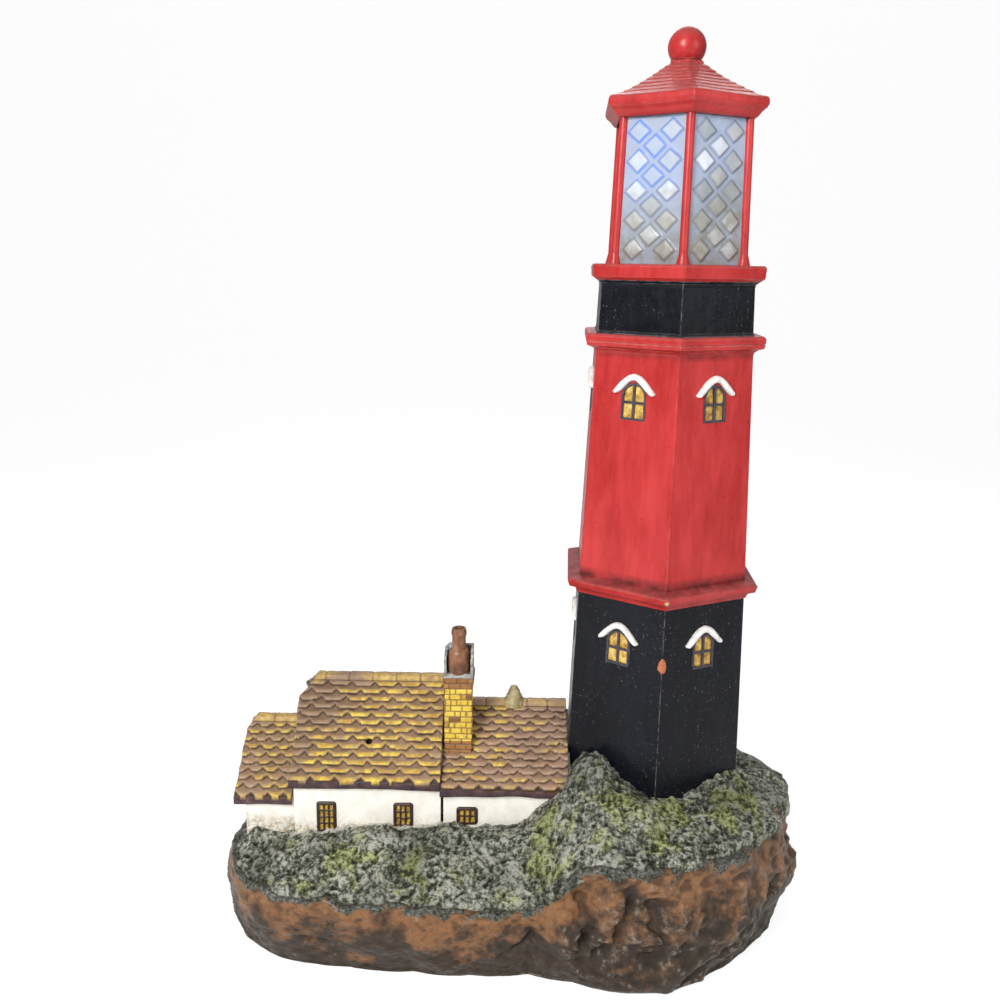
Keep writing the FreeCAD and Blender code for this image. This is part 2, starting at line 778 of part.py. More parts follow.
piece(hollow("middle_ledge_cut", [
    ("lower_head_radius + 0.6", "ledge_level"),
    ("lower_head_radius + 1.6", "ledge_level + 0.26 * ledge_height"),
    ("ledge_radius - 1", "ledge_level + 0.4 * ledge_height"),
    ("ledge_radius", "ledge_level + 0.74 * ledge_height"),
    ("ledge_radius - 0.6", "ledge_level + 0.83 * ledge_height"),
    ("upper_foot_radius + 0.2", "ledge_level + ledge_height")], [
    ("lower_head_radius - tower_wall - 1", "ledge_level - 1"),
    ("upper_foot_radius - tower_wall - 1", "upper_level + 1")]), "middle_ledge")

upper_drum = hollow("upper_drum", [
    ("upper_foot_radius", "upper_level")] + cove(
    "upper_head_radius", "cove_spread", "gallery_level - cove_height", "cove_height"), [
    ("upper_foot_radius - tower_wall", "upper_level - 1"),
    ("upper_head_radius - tower_wall", "gallery_level + 1")])
upper_recesses = dress_drum("upper", "gallery_level - window_drop", "upper_foot_radius",
                            "upper_head_radius", "upper_level", "gallery_level - cove_height")
upper_piece = cut("upper_drum_cut", upper_drum, upper_recesses)
piece(upper_piece, "upper_tower_drum")

piece(hollow("gallery_ledge_cut", [
    ("upper_head_radius + cove_spread", "gallery_level"),
    ("gallery_radius - 0.5", "gallery_level + 0.16 * gallery_height"),
    ("gallery_radius - 0.1", "gallery_level + 0.4 * gallery_height"),
    ("gallery_radius - 0.5", "gallery_level + 0.46 * gallery_height"),
    ("gallery_radius", "gallery_level + 0.52 * gallery_height"),
    ("gallery_radius", "gallery_level + 0.84 * gallery_height"),
    ("gallery_radius - 0.9", "watch_level")], [
    ("upper_head_radius - tower_wall - 1", "gallery_level - 1"),
    ("watch_radius - tower_wall - 1", "watch_level + 1")]), "gallery_ledge")

piece(hollow("watch_room_cut", [
    ("watch_radius + 0.9", "watch_level"),
    ("watch_radius + 0.2", "watch_level + 1.2")] + cove(
    "watch_radius - 0.5", "cove_spread", "sill_level - cove_height", "cove_height"), [
    ("watch_radius - tower_wall", "watch_level - 1"),
    ("watch_radius - tower_wall", "sill_level + 1")]), "watch_room")

sill_block = stack("sill_block", [
    ("watch_radius + 1.5", "sill_level"),
    ("sill_radius - 0.3", "sill_level + 0.2 * sill_height"),
    ("sill_radius", "sill_level + 0.85 * sill_height"),
    ("sill_radius - 0.8", "lens_level")])
socket_bore = cylinder("socket_bore", "socket_radius + pilot_gap", "sill_level - 1",
                       "lens_level + 1", "tower_x", "tower_y")
piece(cut("lantern_sill_cut", sill_block, socket_bore), "lantern_sill")

# ---- lantern: a moulded lens with raised squares on each pane, and six round posts


def facet_centres(pane_width, pane_height):
    """A diamond lattice: full rows of two squares, and rows of one between them."""
    column, row, width, height = numbers("facet_column", "facet_row", "facet_width",
                                         "facet_height")
    rows = int((pane_height - height) / row) + 1
    first = (pane_height - (rows - 1) * row) / 2
    centres = []
    for k in range(rows):
        columns = (-0.5, 0.5) if k % 2 == 0 else (0.0,)
        for share in columns:
            if abs(share) * column + width / 2 < pane_width / 2:
                centres.append((share * column, first + k * row))
    return centres


def lens_outside():
    """The lens without its hollow: six panes with bevelled squares standing proud of them."""
    foot, head, level, top = numbers("lens_foot_radius", "lens_head_radius", "lens_level",
                                     "lens_top")
    width, height, relief, bevel = numbers("facet_width", "facet_height", "facet_relief",
                                           "facet_bevel")
    crown_share = 1 - 2 * bevel / width
    faces = []
    rings = {level: [], top: []}
    for side, spot in enumerate(face_placements(level, foot, head, level, top)):
        apothem = math.cos(math.radians(30))
        rise = math.hypot(top - level, (foot - head) * apothem)
        corners = [Vector(-foot / 2, 0, 0), Vector(foot / 2, 0, 0),
                   Vector(head / 2, rise, 0), Vector(-head / 2, rise, 0)]
        wires = [Part.makePolygon([spot.multVec(c) for c in corners + corners[:1]])]
        for across, up in facet_centres(head, rise):
            base, crown = [], []
            for dx, dy in ((0, -1), (1, 0), (0, 1), (-1, 0)):
                out, over = dx * width / 2, dy * height / 2
                base.append(Vector(across + out, up + over, 0))
                crown.append(Vector(across + out * crown_share, up + over * crown_share, relief))
            base = [spot.multVec(v) for v in base]
            crown = [spot.multVec(v) for v in crown]
            wires.append(Part.makePolygon(base + base[:1]))
            faces.append(polygon_face(crown))
            for k in range(4):
                after = (k + 1) % 4
                faces.append(polygon_face([base[k], base[after], crown[after], crown[k]]))
        faces.append(Part.makeFace(wires, "Part::FaceMakerBullseye"))
        rings[level].append(spot.multVec(corners[0]))
        rings[top].append(spot.multVec(corners[3]))
    faces += [polygon_face(ring) for ring in rings.values()]
    shell = Part.makeShell(faces)
    shell.sewShape()
    solid = Part.makeSolid(Part.makeShell(shell.Faces))
    if solid.Volume < 0:
        solid.reverse()
    return solid


def lantern_post_shapes():
    """Round posts that follow the lens's corners, each with a flared foot."""
    foot, head, level, top, radius, flare, flare_height, turn = numbers(
        "lens_foot_radius", "lens_head_radius", "lens_level", "lens_top", "post_radius",
        "post_flare", "post_flare_height", "tower_turn")
    slab = Part.makeBox(200, 200, top - level, Vector(-100, -100, 0))
    shapes = []
    for side in range(6):
        lean = math.atan2(foot - head, top - level)
        length = (top - level) / math.cos(lean) + radius
        shaft = Part.makeCylinder(radius, length + radius, Vector(0, 0, -radius))
        skirt = Part.makeCone(radius + flare, radius, flare_height)
        upright = shaft.rotate(Vector(), Vector(0, 1, 0), -math.degrees(lean))
        post = upright.fuse(skirt).translate(Vector(foot, 0, 0)).common(slab).removeSplitter()
        post.rotate(Vector(), Vector(0, 0, 1), turn - 90 + 60 * side)
        post.translate(Vector(number("tower_x"), number("tower_y"), level))
        shapes.append(post)
    return shapes


lens_block = feature("lens_block", lens_outside())
lens_hollow = stack("lens_hollow", [
    ("lens_foot_radius - lens_skin", "lens_level - 0.001"),
    ("lens_head_radius - lens_skin", "lens_top + 0.001")])
posts = piece(feature("posts", Part.makeCompound(lantern_post_shapes())), "lantern_posts")
lens_shell = cut("lens_shell", lens_block, lens_hollow)
piece(cut("lens_cut", lens_shell, posts), "lantern_lens")

# ---- lantern cap: boarded roof with an eaves cornice, and its ball


def board_rings():
    """Lapped boards: each stands proud of the one below by its edge."""
    boards = int(number("roof_boards"))
    rings = []
    for k in range(boards):
        radius = (f"eave_radius - 1 - (eave_radius - 1 - roof_collar_radius) * {k} / roof_boards")
        level = (f"eave_top + (roof_rise - board_edge) * {k} / roof_boards")
        rings += [(radius, level), (radius, level + " + board_edge")]
    return rings


cornice = [
    ("lens_foot_radius + 0.5", "lens_top"),
    ("lens_foot_radius + 1.2", "lens_top + 0.24 * eave_height"),
    ("eave_radius - 2.6", "lens_top + 0.52 * eave_height"),
    ("eave_radius - 0.9", "lens_top + 0.62 * eave_height"),
    ("eave_radius - 0.9", "lens_top + 0.68 * eave_height"),
    ("eave_radius", "lens_top + 0.72 * eave_height"),
    ("eave_radius", "lens_top + 0.95 * eave_height")]
roof_block = stack("roof_block", cornice + board_rings() + [
    ("roof_collar_radius", "collar_level")])
spigot_radius = "lens_head_radius - lens_skin - fit_gap / cos(30)"
spigot = stack("spigot", [(spigot_radius, "lens_top - spigot_height"),
                          (spigot_radius, "lens_top + 1")])
cap_hollow = stack("cap_hollow", [
    (spigot_radius + " - spigot_wall", "lens_top - spigot_height - 1"),
    (spigot_radius + " - spigot_wall", "lens_top + 1"),
    ("roof_collar_radius", "lens_top + eave_height")])
piece(cut("lantern_roof_cut", fuse("roof_and_spigot", [roof_block, spigot]), cap_hollow),
      "lantern_roof")

ball = doc.addObject("Part::Sphere", "ball")
bind(ball, Radius="ball_radius", Angle1="-asin(ball_rise / ball_radius)")
bind(ball, Placement__Base__x="tower_x", Placement__Base__y="tower_y",
     Placement__Base__z="ball_centre")
piece(ball, "ball_finial")

# ---- lamp

piece(turned("socket", [
    ("0", "lens_level - socket_depth"), ("socket_radius", "lens_level - socket_depth"),
    ("socket_radius", "lens_level"), ("socket_flange_radius", "lens_level"),
    ("socket_flange_radius", "lens_level + socket_flange"),
    ("lamp_cap_radius + pilot_gap", "lens_level + socket_flange"),
    ("lamp_cap_radius + pilot_gap", "lens_level - 0.6 * socket_depth"),
    ("0", "lens_level - 0.6 * socket_depth")], "tower_x", "tower_y"), "lamp_socket")
lamp_foot = "lens_level - 0.6 * socket_depth"
lamp_base = "lens_level + socket_flange"
piece(turned("lamp", [
    ("0", lamp_foot), ("lamp_cap_radius", lamp_foot), ("lamp_cap_radius", lamp_base),
    ("lamp_radius * 0.8", lamp_base + " + 1"), ("lamp_radius", lamp_base + " + 4"),
    ("lamp_radius", lamp_base + " + 0.62 * lamp_height"),
    ("lamp_radius * 0.85", lamp_base + " + 0.82 * lamp_height"),
    ("lamp_radius * 0.5", lamp_base + " + 0.95 * lamp_height"),
    ("0", lamp_base + " + lamp_height")], "tower_x", "tower_y"), "led_lamp")
piece(cylinder("lead", "lamp_lead_radius", "tray_top", "lens_level - socket_depth",
               "tower_x", "tower_y"), "lamp_lead")

# ---- cottage walls and roofs


def window_panels(name):
    """Left edges, width, height and foot of the windows on one long side of a range."""
    if name == "main":
        width, height = "cottage_window_width", "cottage_window_height"
        left = "main_left + cottage_window_inset - cottage_window_width / 2"
        right = "main_right - cottage_window_inset - cottage_window_width / 2 - 2"
        return [(left, width, "cottage_window_foot", height),
                (right, width, "cottage_window_foot", height)]
    if name == "link":
        left = "link_left + link_window_inset - link_window_width / 2"
        return [(left, "link_window_width", "link_window_foot", "link_window_height")]
    return []


def gable_walls(name):
    """The walls of one range as a gabled block with recesses for its windows."""
    body = doc.addObject("PartDesign::Body", name + "_walls_body")
    pad(body, name + "_walls_pad", "YZ_Plane", f"{name}_left", [
        (f"{name}_front", "ground_low"), (f"{name}_back", "ground_low"),
        (f"{name}_back", f"{name}_wall_top"), ("ridge_y", f"{name}_apex"),
        (f"{name}_front", f"{name}_wall_top")], f"{name}_right - {name}_left")
    holes = []
    for left, width, foot, height in window_panels(name):
        holes.append(rectangle(left, f"{left} + {width}", foot, f"{foot} + {height}"))
    if holes:
        pocket(body, name + "_front_windows", "XZ_Plane", f"-({name}_front)", holes,
               "cottage_window_recess")
        pocket(body, name + "_back_windows", "XZ_Plane", f"-({name}_back)", holes,
               "cottage_window_recess", reversed_way=True)
    return body


def roof_deck(name):
    """A folded deck of even thickness over one range, with plumb ends at the eaves."""
    body = doc.addObject("PartDesign::Body", name + "_deck_body")
    pad(body, name + "_deck_pad", "YZ_Plane", f"{name}_roof_left", [
        (f"{name}_eave_front", f"{name}_eave - {name}_drop"),
        ("ridge_y", f"{name}_apex"),
        (f"{name}_eave_back", f"{name}_eave - {name}_drop"),
        (f"{name}_eave_back", f"{name}_eave"),
        ("ridge_y", f"{name}_ridge"),
        (f"{name}_eave_front", f"{name}_eave")], f"{name}_roof_right - ({name}_roof_left)")
    return body


def slope_frame(name, back):
    """Origin at the eave, the way up the slope, the way out of it, and the slope's length."""
    eave, ridge, ridge_y, eave_y = numbers(f"{name}_eave", f"{name}_ridge", "ridge_y",
                                           f"{name}_eave_back" if back else f"{name}_eave_front")
    start = Vector(0, eave_y, eave)
    run = Vector(0, ridge_y, ridge) - start
    length = run.Length
    up = run.normalize()
    out = Vector(0, up.z, -up.y) if back else Vector(0, -up.z, up.y)
    return start, up, out, length


def scallop(x, left, tile, shift, notch, flat):
    """Depth of the course's lower edge at x: flat tips with a notch where two tiles meet."""
    place = ((x - left) / tile + shift) % 1.0
    from_middle = abs(place - 0.5) * 2
    return notch * max(0.0, from_middle - flat) / (1 - flat)


def course_outline(left, right, tile, shift, notch, flat):
    """x and depth of the corners along a course's lower edge."""
    breaks = {left, right}
    for k in range(-1, int((right - left) / tile) + 2):
        for share in (0.0, (1 - flat) / 2, (1 + flat) / 2):
            x = left + (k + share - shift) * tile
            if left + 0.2 < x < right - 0.2:
                breaks.add(x)
    return [(x, scallop(x, left, tile, shift, notch, flat)) for x in sorted(breaks)]


def roof_courses(name, left, right):
    """Lapped courses of tiles: thin slabs with scalloped tips, each head on the deck and each
    tip on the course below.  sin(tilt) = thickness / pitch keeps neighbours face to face."""
    courses, per_row, thickness, lap, notch, flat, drip, gap = numbers(
        f"{name}_courses", f"{name}_tiles", "tile_thickness", "tile_lap", "tile_notch",
        "tile_flat", "eaves_drip", "course_gap")
    tile = (right - left) / per_row
    clip = number("main_clip") if name == "main" else 0.0
    shapes = []
    for back in (False, True):
        start, up, out, length = slope_frame(name, back)
        pitch = (length + drip) / (int(courses) - 1 + lap)
        tilt = math.asin((thickness + gap) / pitch)
        along = up * math.cos(tilt) - out * math.sin(tilt)
        normal = out * math.cos(tilt) + up * math.sin(tilt)
        for k in range(int(courses)):
            below_top = length - (k * pitch - drip)
            first = left + max(0.0, clip - below_top * up.z)
            shift = 0.5 * (k % 2)
            edge = course_outline(first, right, tile, shift, notch, flat)
            tip = start + up * (k * pitch - drip) + out * (lap * pitch * math.sin(tilt) + gap)
            corners = [tip + Vector(x, 0, 0) + along * depth for x, depth in edge]
            head = along * (lap * pitch)
            corners += [tip + Vector(right, 0, 0) + head, tip + Vector(first, 0, 0) + head]
            shapes.append(polygon_face(corners).extrude(normal * thickness))
    return shapes


def ridge_tiles(name, left, right, count):
    """Folded tiles along the ridge that rest on the top courses."""
    leg, thickness, gap, tile_thickness, ridge_y, ridge = numbers(
        "ridge_tile_leg", "ridge_tile_thickness", "ridge_tile_gap", "tile_thickness", "ridge_y",
        f"{name}_ridge")
    start, up, out, length = slope_frame(name, False)
    pitch = (length + number("eaves_drip")) / (number(f"{name}_courses") - 1 + number("tile_lap"))
    lift = 2 * tile_thickness + leg * tile_thickness / pitch * 0.5 + number("course_gap")
    under = Vector(0, 0, (lift) / up.y)
    over = Vector(0, 0, (lift + thickness) / up.y)
    top = Vector(0, ridge_y, ridge)
    down = up * -leg
    mirrored = Vector(0, -down.y, down.z)
    profile = [top + under + down, top + under, top + under + mirrored, top + over + mirrored,
               top + over, top + over + down]
    step = (right - left + gap) / count
    shapes = []
    for k in range(count):
        face = polygon_face([spot + Vector(left + k * step, 0, 0) for spot in profile])
        shapes.append(face.extrude(Vector(step - gap, 0, 0)))
    return shapes


chimney_room = box("chimney_room", "chimney_left", "chimney_right", "chimney_front",
                   "chimney_back", "chimney_foot", "chimney_top")
RIDGE_TILE_COUNTS = {"main": 6, "wing": 2, "link": 5}
for name in ("main", "wing", "link"):
    walls = gable_walls(name)
    deck = roof_deck(name)
    left, right = numbers(f"{name}_roof_left", f"{name}_roof_right")
    ridge_left = left + (number("main_clip") if name == "main" else 0)
    if name == "link":
        right = number("tower_x - lower_foot_radius * cos(30 + tower_turn)") - 0.1
        link_tools = fuse("link_tools", [tower_room, chimney_room])
        walls = cut("link_walls_cut", walls, link_tools)
        deck = cut("link_deck_cut", deck, link_tools)
    if name == "main":
        pocket(deck, "main_clip_pocket", "XZ_Plane", "base_depth", [[
            ("main_roof_left - 1", "main_ridge - main_clip - 1"),
            ("main_roof_left + main_clip + 1", "main_ridge + 1"),
            ("main_roof_left - 1", "main_ridge + 1")]], "2 * base_depth")
    piece(walls, f"{name}_walls")
    piece(deck, f"{name}_roof")
    courses = Part.makeCompound(roof_courses(name, left, right))
    if name == "link":
        doc.recompute()
        courses = courses.cut(chimney_room.Shape)
    piece(feature(f"{name}_courses_shape", courses), f"{name}_roof_tiles")
    ridge_shapes = ridge_tiles(name, ridge_left, right, RIDGE_TILE_COUNTS[name])
    piece(feature(f"{name}_ridge_shape", Part.makeCompound(ridge_shapes)), f"{name}_ridge_tiles")
    board_top = f"{name}_eave - 1"
    board_foot = board_top + " - board_height"
    board_ends = (f"{name}_roof_left", f"{name}_roof_right")
    boards = [
        box(f"{name}_front_board", *board_ends, f"{name}_eave_front - board_thickness",
            f"{name}_eave_front", board_foot, board_top),
        box(f"{name}_back_board", *board_ends, f"{name}_eave_back",
            f"{name}_eave_back + board_thickness", board_foot, board_top)]
    piece(group(f"{name}_boards", boards), f"{name}_eaves_boards")

# ---- cottage windows


def lattice(width, height, columns, rows, depth):
    """A frame with a lattice of small lights, lying in the local X-Y plane."""
    border, bar = numbers("lattice_border", "lattice_bar")
    wires = [Part.makePolygon([Vector(x, y, 0) for x, y in (
        (0, 0), (width, 0), (width, height), (0, height), (0, 0))])]
    light_width = (width - 2 * border - (columns - 1) * bar) / columns
    light_height = (height - 2 * border - (rows - 1) * bar) / rows
    for column in range(columns):
        for row in range(rows):
            left = border + column * (light_width + bar)
            low = border + row * (light_height + bar)
            right, high = left + light_width, low + light_height
            wires.append(Part.makePolygon([Vector(x, y, 0) for x, y in (
                (left, low), (right, low), (right, high), (left, high), (left, low))]))
    return Part.makeFace(wires, "Part::FaceMakerBullseye").extrude(Vector(0, 0, depth))


recess, pane_depth = numbers("cottage_window_recess", "pane_thickness")
frame_shapes, pane_shapes = [], []
for name, columns, rows in (("main", 2, 4), ("link", 3, 2)):
    for left, width, foot, height in window_panels(name):
        x, wide, z, tall = numbers(left, width, foot, height)
        frame = lattice(wide, tall, columns, rows, recess - pane_depth)
        pane = Part.makeBox(wide, tall, pane_depth)
        front, back = numbers(f"{name}_front", f"{name}_back")
        facing_front = Placement(Vector(x, front + recess, z), Rotation(Vector(1, 0, 0), 90))
        facing_back = Placement(Vector(x + wide, back - recess, z), Rotation(
            Vector(0, 1, 1), 180))
        for spot in (facing_front, facing_back):
            pane_shapes.append(placed(pane, spot))
            forward = Placement(Vector(0, 0, pane_depth), Rotation())
            frame_shapes.append(placed(placed(frame, forward), spot))
piece(feature("window_frames", Part.makeCompound(frame_shapes)), "cottage_window_frames")
piece(feature("window_panes", Part.makeCompound(pane_shapes)), "cottage_window_panes")

# ---- chimney and ridge finial

stack_body = doc.addObject("PartDesign::Body", "chimney_body")
pad(stack_body, "stack_pad", "XY_Plane", "chimney_foot", rectangle(
    "chimney_left", "chimney_right", "chimney_front", "chimney_back"),
    "chimney_top - chimney_foot")
pad(stack_body, "corbel_pad", "XY_Plane", "chimney_top - corbel_height / 2", rectangle(
    "chimney_left - corbel_spread", "chimney_right + corbel_spread",
    "chimney_front - corbel_spread", "chimney_back + corbel_spread"), "corbel_height / 2")
pad(stack_body, "neck_pad", "XY_Plane", "chimney_top - corbel_height", rectangle(
    "chimney_left - corbel_spread / 2", "chimney_right + corbel_spread / 2",
    "chimney_front - corbel_spread / 2", "chimney_back + corbel_spread / 2"), "corbel_height / 2")
piece(stack_body, "chimney_stack")

cap_body = doc.addObject("PartDesign::Body", "cap_body")
pad(cap_body, "cap_pad", "XZ_Plane", "-chimney_back", [
    ("chimney_left", "chimney_top"), ("chimney_right", "chimney_top"),
    ("chimney_right", "cap_top"), ("chimney_left + 0.8", "cap_top"),
    ("chimney_left + 0.8", "cap_top - cap_step"), ("chimney_left", "cap_top - cap_step")],
    "chimney_width")
pocket(cap_body, "pot_seat", "XY_Plane", "cap_top + 1", [], "cap_height - cap_floor + 1",
       circles=[("pot_x", "pot_y", "pot_radius + pilot_gap")])
piece(cap_body, "chimney_cap")

pot_foot = "chimney_top + cap_floor"
piece(turned("pot", [
    ("0", pot_foot), ("pot_radius * 0.94", pot_foot),
    ("pot_radius", pot_foot + " + 0.3 * pot_barrel_height"),
    ("pot_radius", pot_foot + " + 0.8 * pot_barrel_height"),
    ("pot_radius * 0.9", pot_foot + " + pot_barrel_height"),
    ("pot_neck_radius", pot_foot + " + pot_barrel_height + 0.5"),
    ("pot_neck_radius * 0.94", pot_foot + " + pot_height - 3"),
    ("pot_neck_radius", pot_foot + " + pot_height - 2"),
    ("pot_neck_radius * 0.85", pot_foot + " + pot_height"),
    ("pot_bore_radius", pot_foot + " + pot_height"),
    ("pot_bore_radius", pot_foot + " + pot_height - pot_bore_depth"),
    ("0", pot_foot + " + pot_height - pot_bore_depth")], "pot_x", "pot_y"), "chimney_pot")

doc.recompute()
finial_foot = "link_ridge"
knob = turned("finial", [
    ("0", finial_foot), ("finial_radius", finial_foot),
    ("finial_radius", finial_foot + " + 0.45 * finial_height"),
    ("finial_radius * 0.6", finial_foot + " + 0.62 * finial_height"),
    ("finial_radius * 0.36", finial_foot + " + 0.85 * finial_height"),
    ("finial_radius * 0.3", finial_foot + " + 1.05 * finial_height"),
    ("finial_radius * 0.12", finial_foot + " + 1.2 * finial_height"),
    ("0", finial_foot + " + 1.2 * finial_height")], "finial_x", "ridge_y")
link_parts = [thing for thing in pieces if thing.Label in (
    "link_roof", "link_roof_tiles", "link_ridge_tiles")]
saddle_tool = fuse("saddle_tool", link_parts)
piece(cut("ridge_finial_cut", knob, saddle_tool), "ridge_finial")

# ---- underside: plate, screws and feet

door_left = "tray_x - door_length / 2"
door_right = "tray_x + door_length / 2"
door_front = "tray_y - door_width / 2"
door_back = "tray_y + door_width / 2"
slot_left = "switch_x - slider_knob_length / 2 - fit_gap"
slot_right = "switch_x + slider_knob_length / 2 + slider_travel + fit_gap"

plate = doc.addObject("PartDesign::Body", "plate_body")
plate_pad = pad(plate, "plate_pad", "XY_Plane", "plate_bottom", rectangle(
    "-plate_length / 2", "plate_length / 2", "-plate_width / 2", "plate_width / 2"),
    "plate_thickness")
round_upright_edges(plate, "plate_corners", plate_pad, "plate_corner")
pocket(plate, "plate_openings", "XY_Plane", "plate_top", [
    rectangle(door_left, door_right, door_front, door_back),
    rectangle(slot_left, slot_right, "-slider_knob_width / 2 - fit_gap",
              "slider_knob_width / 2 + fit_gap")], "plate_thickness")
pocket(plate, "screw_holes", "XY_Plane", "plate_top", [], "plate_thickness", circles=[
    (x, y, "screw_radius + fit_gap") for x, y in screw_spots])
pocket(plate, "screw_counterbores", "XY_Plane", "plate_bottom", [], "screw_head_height",
       reversed_way=True, circles=[(x, y, "screw_head_radius + fit_gap") for x, y in screw_spots])
hinge_holes = doc.addObject("Part::Cylinder", "hinge_holes")
hinge_holes.Placement = Placement(Vector(), Rotation(Vector(0, 1, 0), 90))
bind(hinge_holes, Radius="hinge_pin_radius + hinge_gap",
     Height="door_length + 2 * hinge_pin_length + 2 * fit_gap",
     Placement__Base__x=door_left + " - hinge_pin_length - fit_gap",
     Placement__Base__y="hinge_y", Placement__Base__z="hinge_height")
piece(cut("base_plate_cut", plate, hinge_holes), "base_plate")

screw_shapes = []
for k, (x, y) in enumerate(screw_spots):
    head_top = "plate_bottom + screw_head_height"
    head = cylinder(f"screw_head_{k}", "screw_head_radius", "plate_bottom + 0.2", head_top, x, y)
    shank = cylinder(f"screw_shank_{k}", "screw_radius", head_top, head_top + " + screw_length",
                     x, y)
    screw_shapes.append(fuse(f"screw_{k}", [head, shank]))
piece(group("screws", screw_shapes), "plate_screws")

foot_shapes = []
for k, (side, end) in enumerate([(-1, -1), (-1, 1), (1, -1), (1, 1)]):
    foot_shapes.append(cylinder(f"foot_{k}", "foot_radius", "0", "plate_bottom",
                                f"{side} * (plate_length / 2 - foot_inset)",
                                f"{end} * (plate_width / 2 - foot_inset)"))
piece(group("feet", foot_shapes), "rubber_feet")

# ---- battery tray, cells and door

room_left = "tray_x - tray_room_length / 2"
room_right = "tray_x + tray_room_length / 2"
room_front = "tray_y - tray_room_width / 2"
room_back = "tray_y + tray_room_width / 2"
tray = doc.addObject("PartDesign::Body", "tray_body")
pad(tray, "tray_pad", "XY_Plane", "plate_top", rectangle(
    room_left + " - tray_wall", room_right + " + tray_wall",
    room_front + " - tray_wall", room_back + " + tray_wall"), "tray_top - (plate_top)")
pocket(tray, "tray_room", "XY_Plane", "plate_top", [rectangle(
    room_left, room_right, room_front, room_back)], "tray_ceiling - (plate_top)",
    reversed_way=True)
piece(tray, "battery_tray")

cell_shapes, contact_shapes, spring_shapes = [], [], []
cell_radius, cell_length, nub_radius, nub_length, cell_z, contact, thin = numbers(
    "cell_radius", "cell_length", "cell_nub_radius", "cell_nub_length", "cell_height",
    "contact_size", "contact_thickness")
room_ends = numbers(room_left, room_right)


def battery_spring(length, radius, wire, turns):
    """A coil of round wire that stands on the origin along +X."""
    coil = Part.makeHelix((length - wire) / turns, length - wire, radius - wire / 2)
    section = Part.makeCircle(wire / 2, Vector(radius - wire / 2, 0, 0), Vector(0, 1, 0))
    body = Part.Wire(coil).makePipeShell([Part.Wire(section)], True, True)
    body.translate(Vector(0, 0, wire / 2))
    return body.rotate(Vector(), Vector(0, 1, 0), 90)


for k in (-1, 0, 1):
    cell_y = number(f"tray_y + {k} * cell_pitch")
    facing = 1 if k != 0 else -1
    plus_end = room_ends[1] - thin if facing > 0 else room_ends[0] + thin
    minus_end = room_ends[0] + thin if facing > 0 else room_ends[1] - thin
    axis = Vector(facing, 0, 0)
    can_foot = Vector(plus_end, cell_y, cell_z) - axis * (cell_length + nub_length)
    can = Part.makeCylinder(cell_radius, cell_length, can_foot, axis)
    nub = Part.makeCylinder(nub_radius, nub_length, can_foot + axis * cell_length, axis)
    cell_shapes.append(can.fuse(nub).removeSplitter())
    for end in (room_ends[0], room_ends[1] - thin):
        contact_shapes.append(Part.makeBox(thin, contact, contact, Vector(
            end, cell_y - contact / 2, cell_z - contact / 2)))
    room = abs(can_foot.x - minus_end)
    spring = battery_spring(room, *numbers("spring_radius", "spring_wire", "spring_turns"))
    if facing < 0:
        spring.rotate(Vector(), Vector(0, 0, 1), 180)
    spring_shapes.append(spring.translate(Vector(minus_end, cell_y, cell_z)))
piece(feature("cells_shape", Part.makeCompound(cell_shapes)), "battery_cells")
piece(feature("contacts_shape", Part.makeCompound(contact_shapes)), "battery_contacts")
piece(feature("springs_shape", Part.makeCompound(spring_shapes)), "battery_springs")

door = doc.addObject("PartDesign::Body", "door_body")
pad(door, "door_pad", "XY_Plane", "plate_bottom", rectangle(
    door_left + " + fit_gap", door_right + " - fit_gap", door_front + " + fit_gap", "hinge_y"),
    "plate_thickness")
pocket(door, "finger_recess", "XY_Plane", "plate_bottom", [], "plate_thickness / 2",
       reversed_way=True, circles=[("tray_x", door_front + " + fit_gap + finger_radius + 2",
                                    "finger_radius")])
barrel = doc.addObject("Part::Cylinder", "door_barrel")
pins = doc.addObject("Part::Cylinder", "door_pins")
for rod, radius, reach in ((barrel, "hinge_radius", "-fit_gap"),
                           (pins, "hinge_pin_radius", "hinge_pin_length")):
    rod.Placement = Placement(Vector(), Rotation(Vector(0, 1, 0), 90))
    bind(rod, Radius=radius, Height=f"door_length + 2 * ({reach})")
    bind(rod, Placement__Base__x=f"{door_left} - ({reach})", Placement__Base__y="hinge_y",
         Placement__Base__z="hinge_height")
piece(fuse("door_fuse", [door, barrel, pins]), "battery_door")

# ---- slide switch and its lead

flange_room_left = "switch_x - slider_flange_length / 2 - fit_gap"
flange_room_right = "switch_x + slider_flange_length / 2 + slider_travel + fit_gap"
switch_middle = "switch_x + slider_travel / 2"
switch = doc.addObject("PartDesign::Body", "switch_body_body")
pad(switch, "switch_pad", "XY_Plane", "plate_top", rectangle(
    f"{switch_middle} - switch_length / 2", f"{switch_middle} + switch_length / 2",
    "-switch_width / 2", "switch_width / 2"), "switch_height")
pocket(switch, "slider_room", "XY_Plane", "plate_top", [rectangle(
    flange_room_left, flange_room_right, "-slider_flange_width / 2 - fit_gap",
    "slider_flange_width / 2 + fit_gap")], "slider_flange_height + 2 * fit_gap",
    reversed_way=True)
piece(switch, "switch_body")

slider = doc.addObject("PartDesign::Body", "slider_body")
pad(slider, "flange_pad", "XY_Plane", "plate_top + fit_gap / 2", rectangle(
    "switch_x - slider_flange_length / 2", "switch_x + slider_flange_length / 2",
    "-slider_flange_width / 2", "slider_flange_width / 2"), "slider_flange_height")
pad(slider, "knob_pad", "XY_Plane", "foot_drop + fit_gap", rectangle(
    "switch_x - slider_knob_length / 2", "switch_x + slider_knob_length / 2",
    "-slider_knob_width / 2", "slider_knob_width / 2"),
    "plate_top + fit_gap / 2 - foot_drop - fit_gap + 0.5")
piece(slider, "switch_slider")

